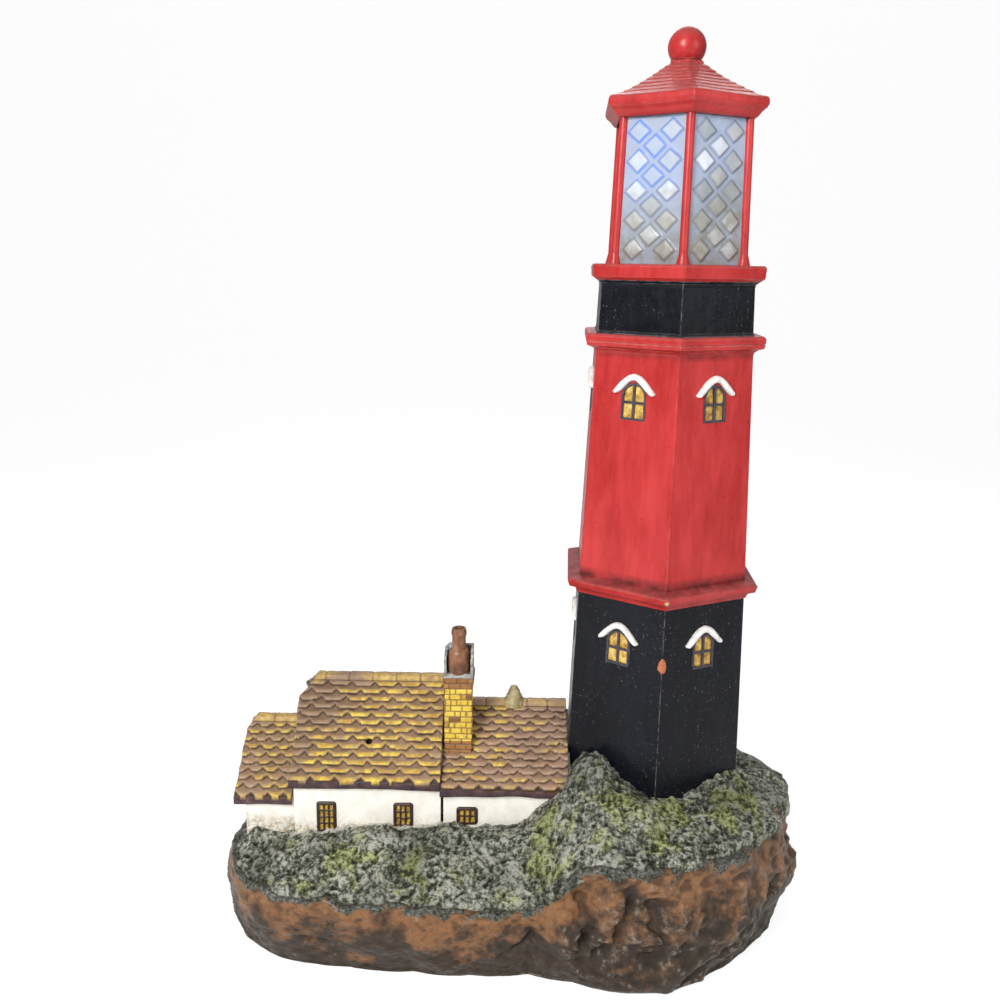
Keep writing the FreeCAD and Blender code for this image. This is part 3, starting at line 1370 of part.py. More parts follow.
switch_lead = doc.addObject("Part::Cylinder", "switch_lead_rod")
switch_lead.Placement = Placement(Vector(), Rotation(Vector(0, 1, 0), 90))
switch_right = f"{switch_middle} + switch_length / 2"
bind(switch_lead, Radius="switch_lead_radius",
     Height=f"{room_left} - tray_wall - ({switch_right})",
     Placement__Base__x=switch_right, Placement__Base__z="switch_lead_height")
piece(switch_lead, "switch_lead")

# ---- check and write

doc.recompute()
faulty = [thing.Name for thing in doc.Objects
          if "Invalid" in thing.State or "Error" in thing.State]
if faulty:
    raise RuntimeError("failed objects: " + ", ".join(faulty))
for thing in pieces:
    if thing.Shape.isNull() or not thing.Shape.isValid():
        raise RuntimeError("bad shape: " + thing.Label)

os.makedirs("parts", exist_ok=True)
for thing in pieces:
    thing.Shape.exportStep(os.path.join("parts", thing.Label + ".step"))
print("sub-parts written:", len(pieces))
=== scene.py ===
import math

import bpy
import numpy as np
from mathutils import Matrix, Vector


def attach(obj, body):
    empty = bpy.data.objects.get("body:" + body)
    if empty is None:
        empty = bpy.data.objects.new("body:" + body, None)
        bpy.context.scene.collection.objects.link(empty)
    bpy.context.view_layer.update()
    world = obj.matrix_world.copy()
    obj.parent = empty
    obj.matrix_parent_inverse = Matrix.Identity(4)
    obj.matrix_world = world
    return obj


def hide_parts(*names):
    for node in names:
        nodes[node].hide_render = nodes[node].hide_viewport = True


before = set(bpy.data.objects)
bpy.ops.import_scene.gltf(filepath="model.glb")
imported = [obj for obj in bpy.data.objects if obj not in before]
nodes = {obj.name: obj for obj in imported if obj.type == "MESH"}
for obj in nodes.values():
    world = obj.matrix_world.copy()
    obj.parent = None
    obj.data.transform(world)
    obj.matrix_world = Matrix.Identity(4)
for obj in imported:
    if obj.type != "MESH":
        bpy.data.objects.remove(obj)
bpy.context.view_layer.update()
mm = 0.001
print("frame loaded")

# ---- smooth random fields, in millimetres


def latticeNoise(points, size, seed):
    # Random numbers on a cubic lattice of that spacing, blended with the fade 3t^2 - 2t^3.
    scaled = points / size
    base = np.floor(scaled).astype(np.int64)
    part = scaled - base
    fade = part * part * (3 - 2 * part)
    total = np.zeros(points.shape[:-1])
    for corner in np.ndindex(2, 2, 2):
        cell = base + np.array(corner)
        key = cell[..., 0] * 73856093 + cell[..., 1] * 19349663 + cell[..., 2] * 83492791
        key = (key + seed * 7919) & 0x7FFFFFFF
        key = ((key ^ (key >> 13)) * 1274126177) & 0x7FFFFFFF
        key = ((key ^ (key >> 16)) * 668265263) & 0x7FFFFFFF
        weight = np.prod(np.where(np.array(corner) == 1, fade, 1 - fade), axis=-1)
        total += weight * (key / 0x7FFFFFFF * 2 - 1)
    return total


def fractalNoise(points, size, seed, layers=4):
    # Layers of lattice noise, each half as large and half as strong as the last.
    total = np.zeros(points.shape[:-1])
    for layer in range(layers):
        total += latticeNoise(points, size / 2 ** layer, seed + layer) / 2 ** layer
    return total


def cellRandom(first, second, seed):
    # A random number from 0 to 1 for each pair of whole numbers.
    key = (first.astype(np.int64) * 73856093 + second.astype(np.int64) * 19349663
           + seed * 83492791) & 0x7FFFFFFF
    key = ((key ^ (key >> 13)) * 1274126177) & 0x7FFFFFFF
    return ((key ^ (key >> 16)) & 0xFFFF) / 0xFFFF


def smoothStep(low, high, value):
    # The fade 3t^2 - 2t^3 of the share t of the way from low to high.
    share = np.clip((value - low) / (high - low), 0, 1)
    return share * share * (3 - 2 * share)


def nearness(points, path, width):
    # 1 on a path of straight runs, falling off as a bell of that width.
    best = np.full(points.shape[:-1], 1e9)
    for start, end in zip(path, path[1:]):
        start, run = np.array(start, float), np.array(end, float) - np.array(start, float)
        along = np.clip((points - start) @ run / (run @ run), 0, 1)
        gap = np.linalg.norm(points - (start + along[..., None] * run), axis=-1)
        best = np.minimum(best, gap)
    return np.exp(-(best / width) ** 2)

# ---- meshes


def gridFaces(rows, columns, wrapRows=False, wrapColumns=False):
    # Quads between neighbours of a grid of points that is numbered row by row.
    rowCount = rows if wrapRows else rows - 1
    columnCount = columns if wrapColumns else columns - 1
    row, column = np.meshgrid(np.arange(rowCount), np.arange(columnCount), indexing="ij")
    nextRow, nextColumn = (row + 1) % rows, (column + 1) % columns
    quads = np.stack([row * columns + column, row * columns + nextColumn,
                      nextRow * columns + nextColumn, nextRow * columns + column], axis=-1)
    return quads.reshape(-1, 4).tolist()


def gridRim(rows, columns):
    # The border of a grid as one loop, turned so that it closes the grid from behind.
    last = (rows - 1) * columns
    loop = list(range(columns)) + [row * columns + columns - 1 for row in range(1, rows)]
    loop += list(range(last + columns - 2, last - 1, -1))
    loop += [row * columns for row in range(rows - 2, 0, -1)]
    return loop[::-1]


def tubeFaces(rows, columns):
    # A tube of rings, with one face over each end.
    last = (rows - 1) * columns
    return gridFaces(rows, columns, wrapColumns=True) + [
        list(range(columns))[::-1], list(range(last, last + columns))]


def turnedOver(faces):
    # The same faces, seen from their other side.
    return [face[::-1] for face in faces]


def makePiece(name, points, faces, body, slot, material, replaced=(), values=None, smooth=True):
    # A finished piece in metres from points in millimetres; values are its point attributes.
    mesh = bpy.data.meshes.new(name)
    mesh.from_pydata((np.asarray(points).reshape(-1, 3) * mm).tolist(), [], faces)
    for key, amounts in (values or {}).items():
        layer = mesh.attributes.new(key, "FLOAT", "POINT")
        layer.data.foreach_set("value", np.asarray(amounts, float).ravel().astype(np.float32))
    mesh.polygons.foreach_set("use_smooth", np.full(len(mesh.polygons), smooth))
    mesh.materials.append(material)
    mesh.update()
    piece = bpy.data.objects.new(name, mesh)
    bpy.context.scene.collection.objects.link(piece)
    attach(piece, body)
    if replaced:
        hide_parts(*replaced)
    print("made", name, len(faces), "faces")


def joinGrids(parts):
    # Points and faces of several grids in one list.
    points, faces, start = [], [], 0
    for partPoints, partFaces in parts:
        partPoints = np.asarray(partPoints).reshape(-1, 3)
        points.append(partPoints)
        faces += [[corner + start for corner in face] for face in partFaces]
        start += len(partPoints)
    return np.concatenate(points), faces

# ---- materials


def plug(value, socket):
    # Links a socket or sets a constant; a colour of three parts gets an alpha of 1.
    if isinstance(value, bpy.types.NodeSocket):
        value.id_data.links.new(value, socket)
    elif socket.type == "RGBA" and len(value) == 3:
        socket.default_value = (*value, 1)
    else:
        socket.default_value = value


def addNode(tree, kind, inputs=None, **settings):
    # A node of that kind with its settings made and its inputs plugged.
    made = tree.nodes.new("ShaderNode" + kind)
    for key, value in settings.items():
        setattr(made, key, value)
    for key, value in (inputs or {}).items():
        plug(value, made.inputs[key])
    return made


def calc(operation, first, second=0.0, clamp=False):
    # One Math node, in the tree of whichever value is a socket.
    socket = first if isinstance(first, bpy.types.NodeSocket) else second
    made = addNode(socket.id_data, "Math", {0: first, 1: second}, operation=operation,
                   use_clamp=clamp)
    return made.outputs[0]


def times(first, second, clamp=False):
    # first * second
    return calc("MULTIPLY", first, second, clamp)


def plus(first, second, clamp=False):
    # first + second
    return calc("ADD", first, second, clamp)


def minus(first, second):
    # first - second
    return calc("SUBTRACT", first, second)


def blend(share, first, second):
    # The first colour at a share of 0 and the second at 1.
    made = addNode(share.id_data, "Mix", {0: share, 6: first, 7: second}, data_type="RGBA")
    return made.outputs[2]


def between(value, zeroAt, oneAt):
    # How far the value is from the one number to the other, kept from 0 to 1.
    return addNode(value.id_data, "MapRange", {0: value, 1: zeroAt, 2: oneAt}).outputs[0]


def zone(value, limits):
    # The same for a distance, with both limits in millimetres.
    return between(value, limits[0] * mm, limits[1] * mm)


def attribute(tree, name):
    # A value that the piece keeps at its points.
    return addNode(tree, "Attribute", attribute_name=name).outputs["Fac"]


def place(tree):
    # The spot on the object, in its own metres.
    return addNode(tree, "TexCoord").outputs["Object"]


def axisOf(tree, axis):
    # One coordinate of that spot.
    return addNode(tree, "SeparateXYZ", {0: place(tree)}).outputs[axis]


def noise(tree, size, detail=3.0, rough=0.55, stretch=(1, 1, 1), shift=(0, 0, 0)):
    # Noise whose features are about that many millimetres across.
    moved = addNode(tree, "Mapping", {"Vector": place(tree), "Scale": stretch,
                                      "Location": shift})
    made = addNode(tree, "TexNoise", {"Vector": moved.outputs[0], "Scale": 1 / (size * mm),
                                      "Detail": detail, "Roughness": rough})
    return made.outputs["Fac"]


def ramp(share, *stops):
    # Blends through stops of (position, colour or grey).
    made = addNode(share.id_data, "ValToRGB", {0: share})
    points = made.color_ramp.elements
    while len(points) < len(stops):
        points.new(0.5)
    for point, (position, colour) in zip(points, stops):
        point.position = position
        grey = isinstance(colour, (int, float))
        point.color = (colour, colour, colour, 1) if grey else (*colour, 1)
    return made.outputs[0]


def edges(tree, radius, gain):
    # Where the rounded normal leaves the true one, which is along the edges.
    rounded = addNode(tree, "Bevel", {"Radius": radius * mm}, samples=6).outputs[0]
    flat = addNode(tree, "NewGeometry").outputs["Normal"]
    along = addNode(tree, "VectorMath", {0: rounded, 1: flat}, operation="DOT_PRODUCT")
    return times(minus(1.0, along.outputs["Value"]), gain, True)


def upward(tree, low, high):
    # 1 on faces that look up, where dust settles.
    normal = addNode(tree, "NewGeometry").outputs["Normal"]
    height = addNode(tree, "SeparateXYZ", {0: normal}).outputs["Z"]
    return between(height, low, high)


def spot(tree, centre, radii, ragged=0.35):
    # 1 inside an ellipsoid with a ragged outline; millimetres.
    off = addNode(tree, "VectorMath", {0: place(tree), 1: [c * mm for c in centre]},
                  operation="SUBTRACT").outputs[0]
    scaled = addNode(tree, "VectorMath", {0: off, 1: [1 / (r * mm) for r in radii]},
                     operation="MULTIPLY").outputs[0]
    length = addNode(tree, "VectorMath", {0: scaled}, operation="LENGTH").outputs["Value"]
    rough = times(minus(noise(tree, 2.0), 0.5), ragged * 3)
    edge = plus(length, rough)
    return between(edge, 1.0, 0.85)


def relief(shader, height, depth, strength=0.6, rounding=0.0):
    # Bump of that depth in millimetres, over a rounding of the edges.
    tree = shader.id_data
    inputs = {"Height": height, "Distance": depth * mm, "Strength": strength}
    if rounding:
        inputs["Normal"] = addNode(tree, "Bevel", {"Radius": rounding * mm},
                                   samples=6).outputs[0]
    plug(addNode(tree, "Bump", inputs).outputs[0], shader.inputs["Normal"])


def newMaterial(name, settings):
    # A material with the settings' gloss; its tree and shader are for the colour and relief.
    material = bpy.data.materials.new(name)
    material.use_nodes = True
    tree = material.node_tree
    shader = tree.nodes["Principled BSDF"]
    shader.inputs["Roughness"].default_value = settings.get("roughness", 0.5)
    shader.inputs["Coat Weight"].default_value = settings.get("coat", 0.0)
    shader.inputs["Coat Roughness"].default_value = settings.get("coatRoughness", 0.15)
    shader.inputs["Specular IOR Level"].default_value = settings.get("specular", 0.5)
    return material, tree, shader


def paintedCasting(name, settings):
    # Brushed enamel: two shades in soft streaks, worn edges, settled dust, chipped spots and
    # painted shade along the junctions.
    material, tree, shader = newMaterial(name, settings)
    streaks = noise(tree, 14, 4, 0.6, (1, 1, 0.35))
    strokes = noise(tree, 2.2, 3, 0.6, (1, 1, 0.12))
    shade = ramp(plus(times(streaks, 0.7), times(strokes, 0.3)), (0.36, settings["deep"]),
                 (0.62, settings["pale"]))
    wear = times(edges(tree, settings["edge"], settings["wearGain"]),
                 ramp(noise(tree, 3.5, 4), (0.38, 0.0), (0.62, 1.0)))
    shade = blend(times(wear, settings["wear"]), shade, settings["wornTo"])
    dust = times(upward(tree, 0.25, 0.9), ramp(noise(tree, 2.5, 5, 0.7), (0.3, 0.25), (0.7, 1.0)))
    shade = blend(times(dust, settings["dust"]), shade, settings["dustColour"])
    specks = ramp(noise(tree, 0.9, 2, 0.5), (settings["speckFrom"], 0.0),
                  (settings["speckFrom"] + 0.03, 1.0))
    patches = ramp(noise(tree, 16, 3), (0.42, 0.15), (0.62, 1.0))
    shade = blend(times(times(specks, patches), settings["specks"]), shade, settings["dustColour"])
    # Painted shade: dark bands along the junctions of the tower's parts, where shade falls.
    for level, spread, strength, junctionColour in settings["junctionShade"]:  # dark lines in the junctions
        off = calc("ABSOLUTE", minus(axisOf(tree, "Z"), level * mm))
        near = between(off, spread * mm, 0.0)
        near = times(near, ramp(noise(tree, 6, 4), (0.3, 0.2), (0.6, 1.0)))
        shade = blend(times(near, strength), shade, junctionColour)
    for centre, radii, colour in settings["chips"]:
        shade = blend(spot(tree, centre, radii), shade, colour)
    plug(shade, shader.inputs["Base Color"])
    gloss = ramp(noise(tree, 5, 4), (0.3, settings["roughness"] * 0.8),
                 (0.7, settings["roughness"] * 1.3))
    plug(plus(gloss, times(dust, 0.3)), shader.inputs["Roughness"])
    height = plus(times(noise(tree, 4, 3, 0.5, (1, 1, 0.4)), 0.7), times(noise(tree, 0.8, 2), 0.3))
    relief(shader, height, settings["waviness"], 0.5, settings["edge"])
    return material


redLook = dict(
    deep=(0.36, 0.014, 0.013), pale=(0.52, 0.036, 0.036), edge=0.7, wearGain=6.0, wear=0.55,
    wornTo=(0.70, 0.24, 0.20), dust=0.6, dustColour=(0.36, 0.16, 0.145), specks=0.25,
    speckFrom=0.70, roughness=0.33, coat=0.12, coatRoughness=0.14, specular=0.3,
    waviness=0.5,
    # painted shade along the junctions, as (level, spread, strength, colour)
    junctionShade=[(162.8, 3.6, 0.9, (0.055, 0.006, 0.006)), (157.0, 2.6, 0.6, (0.16, 0.010, 0.010)),
            (255.6, 2.2, 0.6, (0.12, 0.01, 0.01)), (345.0, 2.2, 0.55, (0.16, 0.015, 0.015))],
    chips=[((58.9, -37.0, 158.6), (1.6, 1.6, 1.2), (0.55, 0.42, 0.16))])
blackLook = dict(
    deep=(0.0015, 0.002, 0.0035), pale=(0.005, 0.006, 0.011), edge=0.7, wearGain=6.0, wear=0.7,
    wornTo=(0.36, 0.36, 0.38), dust=0.35, dustColour=(0.20, 0.21, 0.22), specks=0.5,
    speckFrom=0.665, roughness=0.30, coat=0.05, coatRoughness=0.2, specular=0.2,
    waviness=0.6,
    junctionShade=[],
    chips=[((59.3, -32.4, 130.0), (2.2, 2.2, 3.4), (0.46, 0.16, 0.07))])
redPaint = paintedCasting("redPaint", redLook)
blackPaint = paintedCasting("blackPaint", blackLook)


def mottled(name, settings):
    # Brushed-on colour: a ramp through noise, worn along the edges where a worn colour is given,
    # with its own relief.
    material, tree, shader = newMaterial(name, settings)
    size = settings["size"]
    shade = ramp(noise(tree, size, 5, 0.6, settings.get("stretch", (1, 1, 1))), *settings["stops"])
    if settings.get("wornTo"):
        wear = times(edges(tree, 0.6, 5.0), ramp(noise(tree, size / 2, 4), (0.4, 0.0), (0.6, 1.0)))
        shade = blend(times(wear, settings["wear"]), shade, settings["wornTo"])
    plug(shade, shader.inputs["Base Color"])
    height = noise(tree, settings["grain"], 4, 0.65)
    relief(shader, height, settings["depth"], 0.6, settings.get("edge", 0.35))
    return material


windowFrame = mottled("windowFrame", dict(
    size=3, stops=[(0.35, (0.020, 0.018, 0.032)), (0.65, (0.060, 0.050, 0.075))], grain=0.7,
    depth=0.15, roughness=0.4, wornTo=(0.20, 0.17, 0.14), wear=0.35))
goldPane = mottled("goldPane", dict(
    size=2.6, stops=[(0.33, (0.20, 0.085, 0.018)), (0.47, (0.52, 0.30, 0.045)),
                     (0.64, (0.78, 0.55, 0.16))], grain=0.8, depth=0.2, roughness=0.42))
hoodWhite = mottled("hoodWhite", dict(
    size=4, stops=[(0.3, (0.55, 0.53, 0.50)), (0.5, (0.83, 0.81, 0.78))], grain=0.9,
    depth=0.15, roughness=0.42))
boardPaint = mottled("boardPaint", dict(
    size=5, stops=[(0.35, (0.022, 0.010, 0.014)), (0.6, (0.075, 0.035, 0.040)),
                   (0.75, (0.20, 0.12, 0.09))], grain=1.2, depth=0.3, roughness=0.4))
capGrey = mottled("capGrey", dict(
    size=3, stops=[(0.32, (0.10, 0.095, 0.09)), (0.5, (0.27, 0.26, 0.245)),
                   (0.68, (0.46, 0.45, 0.43))], grain=1.1, depth=0.55, roughness=0.6,
    wornTo=(0.6, 0.59, 0.57), wear=0.6))
potBrown = mottled("potBrown", dict(
    size=4, stops=[(0.32, (0.055, 0.024, 0.012)), (0.5, (0.19, 0.075, 0.030)),
                   (0.68, (0.30, 0.15, 0.075))], stretch=(1, 1, 0.6), grain=1.0, depth=0.25,
    roughness=0.38, wornTo=(0.42, 0.34, 0.26), wear=0.5))
finialTan = mottled("finialTan", dict(
    size=3, stops=[(0.32, (0.14, 0.10, 0.045)), (0.5, (0.34, 0.27, 0.13)),
                   (0.7, (0.50, 0.42, 0.24))], grain=0.9, depth=0.3, roughness=0.5))


def plasterWall(settings):
    # Cream wall, cleaner above, with a grimy flaking foot and a dark seam between the ranges.
    material, tree, shader = newMaterial("creamWall", settings)
    shade = ramp(noise(tree, 9, 5), (0.35, settings["shaded"]), (0.6, settings["clean"]))
    height = minus(axisOf(tree, "Z"), settings["footLevel"] * mm)
    ragged = times(minus(noise(tree, 4, 5, 0.7), 0.5), settings["footRagged"] * mm)
    foot = between(plus(height, ragged), settings["footSpread"] * mm, 0.0)
    flakes = ramp(noise(tree, 1.6, 5, 0.7), (0.45, 0.0), (0.58, 1.0))
    shade = blend(times(foot, plus(times(flakes, 0.75), 0.2)), shade, settings["grime"])
    specks = ramp(noise(tree, 1.1, 3), (0.70, 0.0), (0.74, 1.0))
    shade = blend(times(specks, 0.35), shade, settings["grime"])
    off = calc("ABSOLUTE", minus(axisOf(tree, "X"), settings["seam"] * mm))
    seam = zone(off, settings["seamZone"])
    shade = blend(times(seam, 0.7), shade, settings["seamColour"])
    plug(shade, shader.inputs["Base Color"])
    bumps = plus(noise(tree, 6, 3), times(noise(tree, 1.2, 4), 0.4))
    relief(shader, bumps, 0.5, 0.6, 0.5)
    return material


creamWall = plasterWall(dict(
    clean=(0.88, 0.85, 0.78), shaded=(0.76, 0.72, 0.63), grime=(0.36, 0.28, 0.17),
    footLevel=47.5, footSpread=6.0, footRagged=12.0, seam=-31.6, seamZone=(0.5, 0.1),
    seamColour=(0.10, 0.07, 0.05), roughness=0.55))


def mouldedPlastic(name, colour, roughness, grain=0.25):
    # A fine moulding texture, with slight scuffs.
    material, tree, shader = newMaterial(name, dict(roughness=roughness))
    scuffs = ramp(noise(tree, 7, 6, 0.7), (0.45, 0.0), (0.75, 0.5))
    lighter = [min(1.0, part * 1.6 + 0.02) for part in colour]
    plug(blend(scuffs, colour, lighter), shader.inputs["Base Color"])
    plug(ramp(noise(tree, 5, 4), (0.3, roughness * 0.8), (0.7, roughness * 1.2)),
         shader.inputs["Roughness"])
    relief(shader, noise(tree, grain, 2), 0.04, 0.5, 0.25)
    return material


blackPlastic = mouldedPlastic("blackPlastic", (0.018, 0.018, 0.019), 0.48)
footRubber = mouldedPlastic("footRubber", (0.012, 0.012, 0.012), 0.75, 0.5)
leadSheath = mouldedPlastic("leadSheath", (0.016, 0.016, 0.017), 0.6, 0.4)
cellWrap = mouldedPlastic("cellWrap", (0.04, 0.055, 0.08), 0.3)
frostedLamp = mouldedPlastic("frostedLamp", (0.86, 0.84, 0.76), 0.35)


def platedMetal(name, colour, roughness):
    # Plated metal with fine drawing marks.
    material, tree, shader = newMaterial(name, dict(roughness=roughness))
    shader.inputs["Metallic"].default_value = 1.0
    plug(blend(noise(tree, 2, 4), colour, [part * 0.75 for part in colour]),
         shader.inputs["Base Color"])
    relief(shader, noise(tree, 0.4, 3, 0.6, (1, 1, 0.2)), 0.03, 0.4, 0.15)
    return material


screwMetal = platedMetal("screwMetal", (0.62, 0.61, 0.58), 0.32)
contactMetal = platedMetal("contactMetal", (0.70, 0.69, 0.65), 0.24)
print("materials made")

# ---- ground shared by the rock and the planting

ground = dict(
    halfLength=129.0, halfDepth=70.0, low=35.0, high=59.0, slopeFoot=2.0, slopeHead=38.0,
    undercut=9.0, belly=30.0, lipDraw=4.0,
    # the belly seen from above as shares of the half length and depth, and the undercut's share
    outline=[
        (-1.00, -0.20, 0.1), (-0.95, -0.52, 0.7), (-0.82, -0.74, 1.0), (-0.60, -0.85, 1.3),
        (-0.37, -0.90, 1.2), (-0.16, -0.93, 1.1), (0.06, -0.91, 1.0), (0.22, -0.98, 1.2),
        (0.40, -1.00, 0.8), (0.54, -0.97, 0.8), (0.68, -0.86, 1.0), (0.83, -0.66, 1.1),
        (0.95, -0.38, 1.2), (1.00, -0.04, 0.8), (0.98, 0.19, 0.5), (0.90, 0.42, 0.8),
        (0.74, 0.68, 0.9), (0.45, 1.00, 0.9), (0.22, 0.95, 0.9), (-0.05, 0.90, 0.9),
        (-0.33, 0.95, 0.9), (-0.60, 0.88, 0.9), (-0.81, 0.71, 0.8), (-0.95, 0.32, 0.4)])


def outlineAt(turn):
    # Distance from the middle to the belly in a direction, and the share of the undercut.
    spots = np.array(ground["outline"])
    x, y = spots[:, 0] * ground["halfLength"], spots[:, 1] * ground["halfDepth"]
    angles = np.arctan2(y, x)
    order = np.argsort(angles)
    reach = np.interp(turn, angles[order], np.hypot(x, y)[order], period=2 * np.pi)
    share = np.interp(turn, angles[order], spots[order, 2], period=2 * np.pi)
    return reach, share


def groundLevel(x):
    # Low under the cottage and high round the tower, with a smooth slope between.
    return ground["low"] + (ground["high"] - ground["low"]) * smoothStep(
        ground["slopeFoot"], ground["slopeHead"], x)


def roundedRectangle(turn, halfLength, halfWidth, power=14):
    # Distance to the edge of |x/a|^p + |y/b|^p = 1 in a direction.
    across = np.abs(np.cos(turn)) / halfLength
    up = np.abs(np.sin(turn)) / halfWidth
    return (across ** power + up ** power) ** (-1 / power)

# ---- rock

rock = dict(
    columns=620, rows=92, foot=1.0, lumps=5.0, lumpSize=22.0, facets=2.7, facetSize=14.0,
    grain=0.5, plate=(92.3, 39.3), cavity=(85.0, 32.0), seat=5.5, roof=29.0,
    pushRange=(-9.0, 3.4), drawHeight=32.0, bandScale=34.0,
    # clefts as paths of (x, y, z), how deep they cut and how wide they are
    clefts=[
        ([(66, -66, 2), (86, -60, 14), (104, -48, 26), (114, -38, 36)], 5.4, 2.4),
        ([(46, -64, 53), (47, -68, 44), (43, -70, 26), (32, -70, 14), (28, -68, 4)], 5.4, 2.5),
        ([(34, -62, 52), (28, -66, 42), (32, -68, 32), (30, -68, 24)], 3.4, 2.2),
        ([(75, -60, 54), (80, -60, 38), (92, -54, 26)], 4.0, 2.0),
        ([(56, -68, 42), (61, -70, 26), (55, -70, 10)], 2.2, 2.2),
        ([(96, -50, 40), (99, -48, 48), (106, -40, 58)], 2.6, 1.6),
        ([(-6, -62, 14), (6, -62, 20), (14, -64, 30)], 1.8, 1.6),
        ([(-60, -56, 22), (-40, -58, 18), (-20, -60, 22)], 1.4, 2.0),
        ([(-112, -44, 12), (-96, -52, 20), (-80, -56, 16)], 1.5, 1.8)],
    # swellings as (x, y, z, reach, rise)
    swells=[(60, -68, 36, 13, 4.6), (37, -68, 38, 8, 3.0), (92, -54, 42, 13, 3.0),
            (22, -66, 26, 10, 2.6), (62, -66, 8, 12, 2.6), (112, -38, 34, 12, 2.2),
            (-100, -46, 18, 16, 1.5), (-40, -60, 14, 18, 1.5)])


def rockPiece():
    # Rings round the middle: cavity roof and wall, seat of the plate, foot, face, lip and top.
    # The face's reach is the outline less an undercut below the belly and a draw above it, with
    # lumps, ridged facets and clefts added along the outward direction.
    columns, rows = rock["columns"], rock["rows"]
    turn = np.linspace(-np.pi, np.pi, columns, endpoint=False)
    reach, share = outlineAt(turn)
    lip = groundLevel(reach * np.cos(turn)) + 0.8
    rim = np.stack([reach * np.cos(turn), reach * np.sin(turn), turn * 0], -1)
    lip = lip + latticeNoise(rim, 9.0, 37) * 1.5 + latticeNoise(rim, 3.5, 38) * 0.8
    up = np.linspace(0, 1, rows)[:, None]
    z = rock["foot"] + up * (lip - rock["foot"])
    below = np.clip((ground["belly"] - z) / ground["belly"], 0, 1)
    above = np.clip((z - ground["belly"]) / rock["drawHeight"], 0, 1)
    radius = reach - share * ground["undercut"] * below ** 1.4 - ground["lipDraw"] * above
    spots = np.stack([radius * np.cos(turn), radius * np.sin(turn), z], -1)
    east = smoothStep(-10, 50, spots[..., 0])
    lumps = latticeNoise(spots, rock["lumpSize"], 3) * rock["lumps"] * (0.35 + 0.65 * east)
    folded = 1 - 2 * np.abs(latticeNoise(spots * (1, 1, 0.7), rock["facetSize"], 11))
    folded += 0.5 - np.abs(latticeNoise(spots * (1, 1, 1.4), rock["facetSize"] * 0.5, 17))
    facets = folded * rock["facets"] * (0.3 + 0.7 * east)
    grain = fractalNoise(spots, 2.6, 29, 3) * rock["grain"]
    layers = latticeNoise(spots * (0.3, 0.3, 1), 5.0, 41) * 0.7 * (1 - east)
    push = lumps + facets * 0.8 + grain + layers - 1.8
    for x, y, level, size, rise in rock["swells"]:
        gap = np.linalg.norm(spots - (x, y, level), axis=-1)
        push += rise * np.exp(-(gap / size) ** 2)
    cracks = np.zeros(push.shape)
    for path, depth, width in rock["clefts"]:
        near = nearness(spots + 1.5 * latticeNoise(spots, 5.0, 53)[..., None], path, width)
        push -= depth * near
        cracks = np.maximum(cracks, near * min(1.0, depth / 2.5))
    fade = smoothStep(0, 0.04, up)
    push = np.clip(push * (0.35 + 0.65 * fade), *rock["pushRange"])
    radius = radius + push
    face = np.stack([radius * np.cos(turn), radius * np.sin(turn),
                     z + latticeNoise(spots, 7.0, 61) * 0.9 * smoothStep(0, 0.2, up)], -1)

    def ring(distance, level):
        # One ring at that distance from the middle and that height.
        level = np.broadcast_to(level, turn.shape)
        return np.stack([distance * np.cos(turn), distance * np.sin(turn), level], -1)[None]
    cavity = roundedRectangle(turn, *rock["cavity"])
    plate = roundedRectangle(turn, *rock["plate"])
    inner = [ring(cavity * 0.02, rock["roof"]), ring(cavity, rock["roof"]),
             ring(cavity, rock["seat"]), ring(plate, rock["seat"]), ring(plate, rock["foot"])]
    top = radius[-1]
    outer = [ring(top - 2.5, face[-1, :, 2] + 0.6), ring(top - 6, lip - 0.8),
             ring(top * 0.5, lip - 3), ring(top * 0.02, lip.mean() - 3)]
    points = np.concatenate(inner + [face] + outer)
    around = sum(np.roll(push, *shift) for shift in ((3, 1), (-3, 1), (3, 0), (-3, 0))) / 4
    hollow, crack, band = np.zeros((3, *points.shape[:2]))
    onFace = slice(len(inner), len(inner) + rows)
    hollow[onFace] = push - around
    crack[onFace] = cracks
    band[onFace] = (lip - z) / lip * rock["bandScale"]
    return points, tubeFaces(len(points), columns), dict(crest=hollow, crack=crack, below=band)


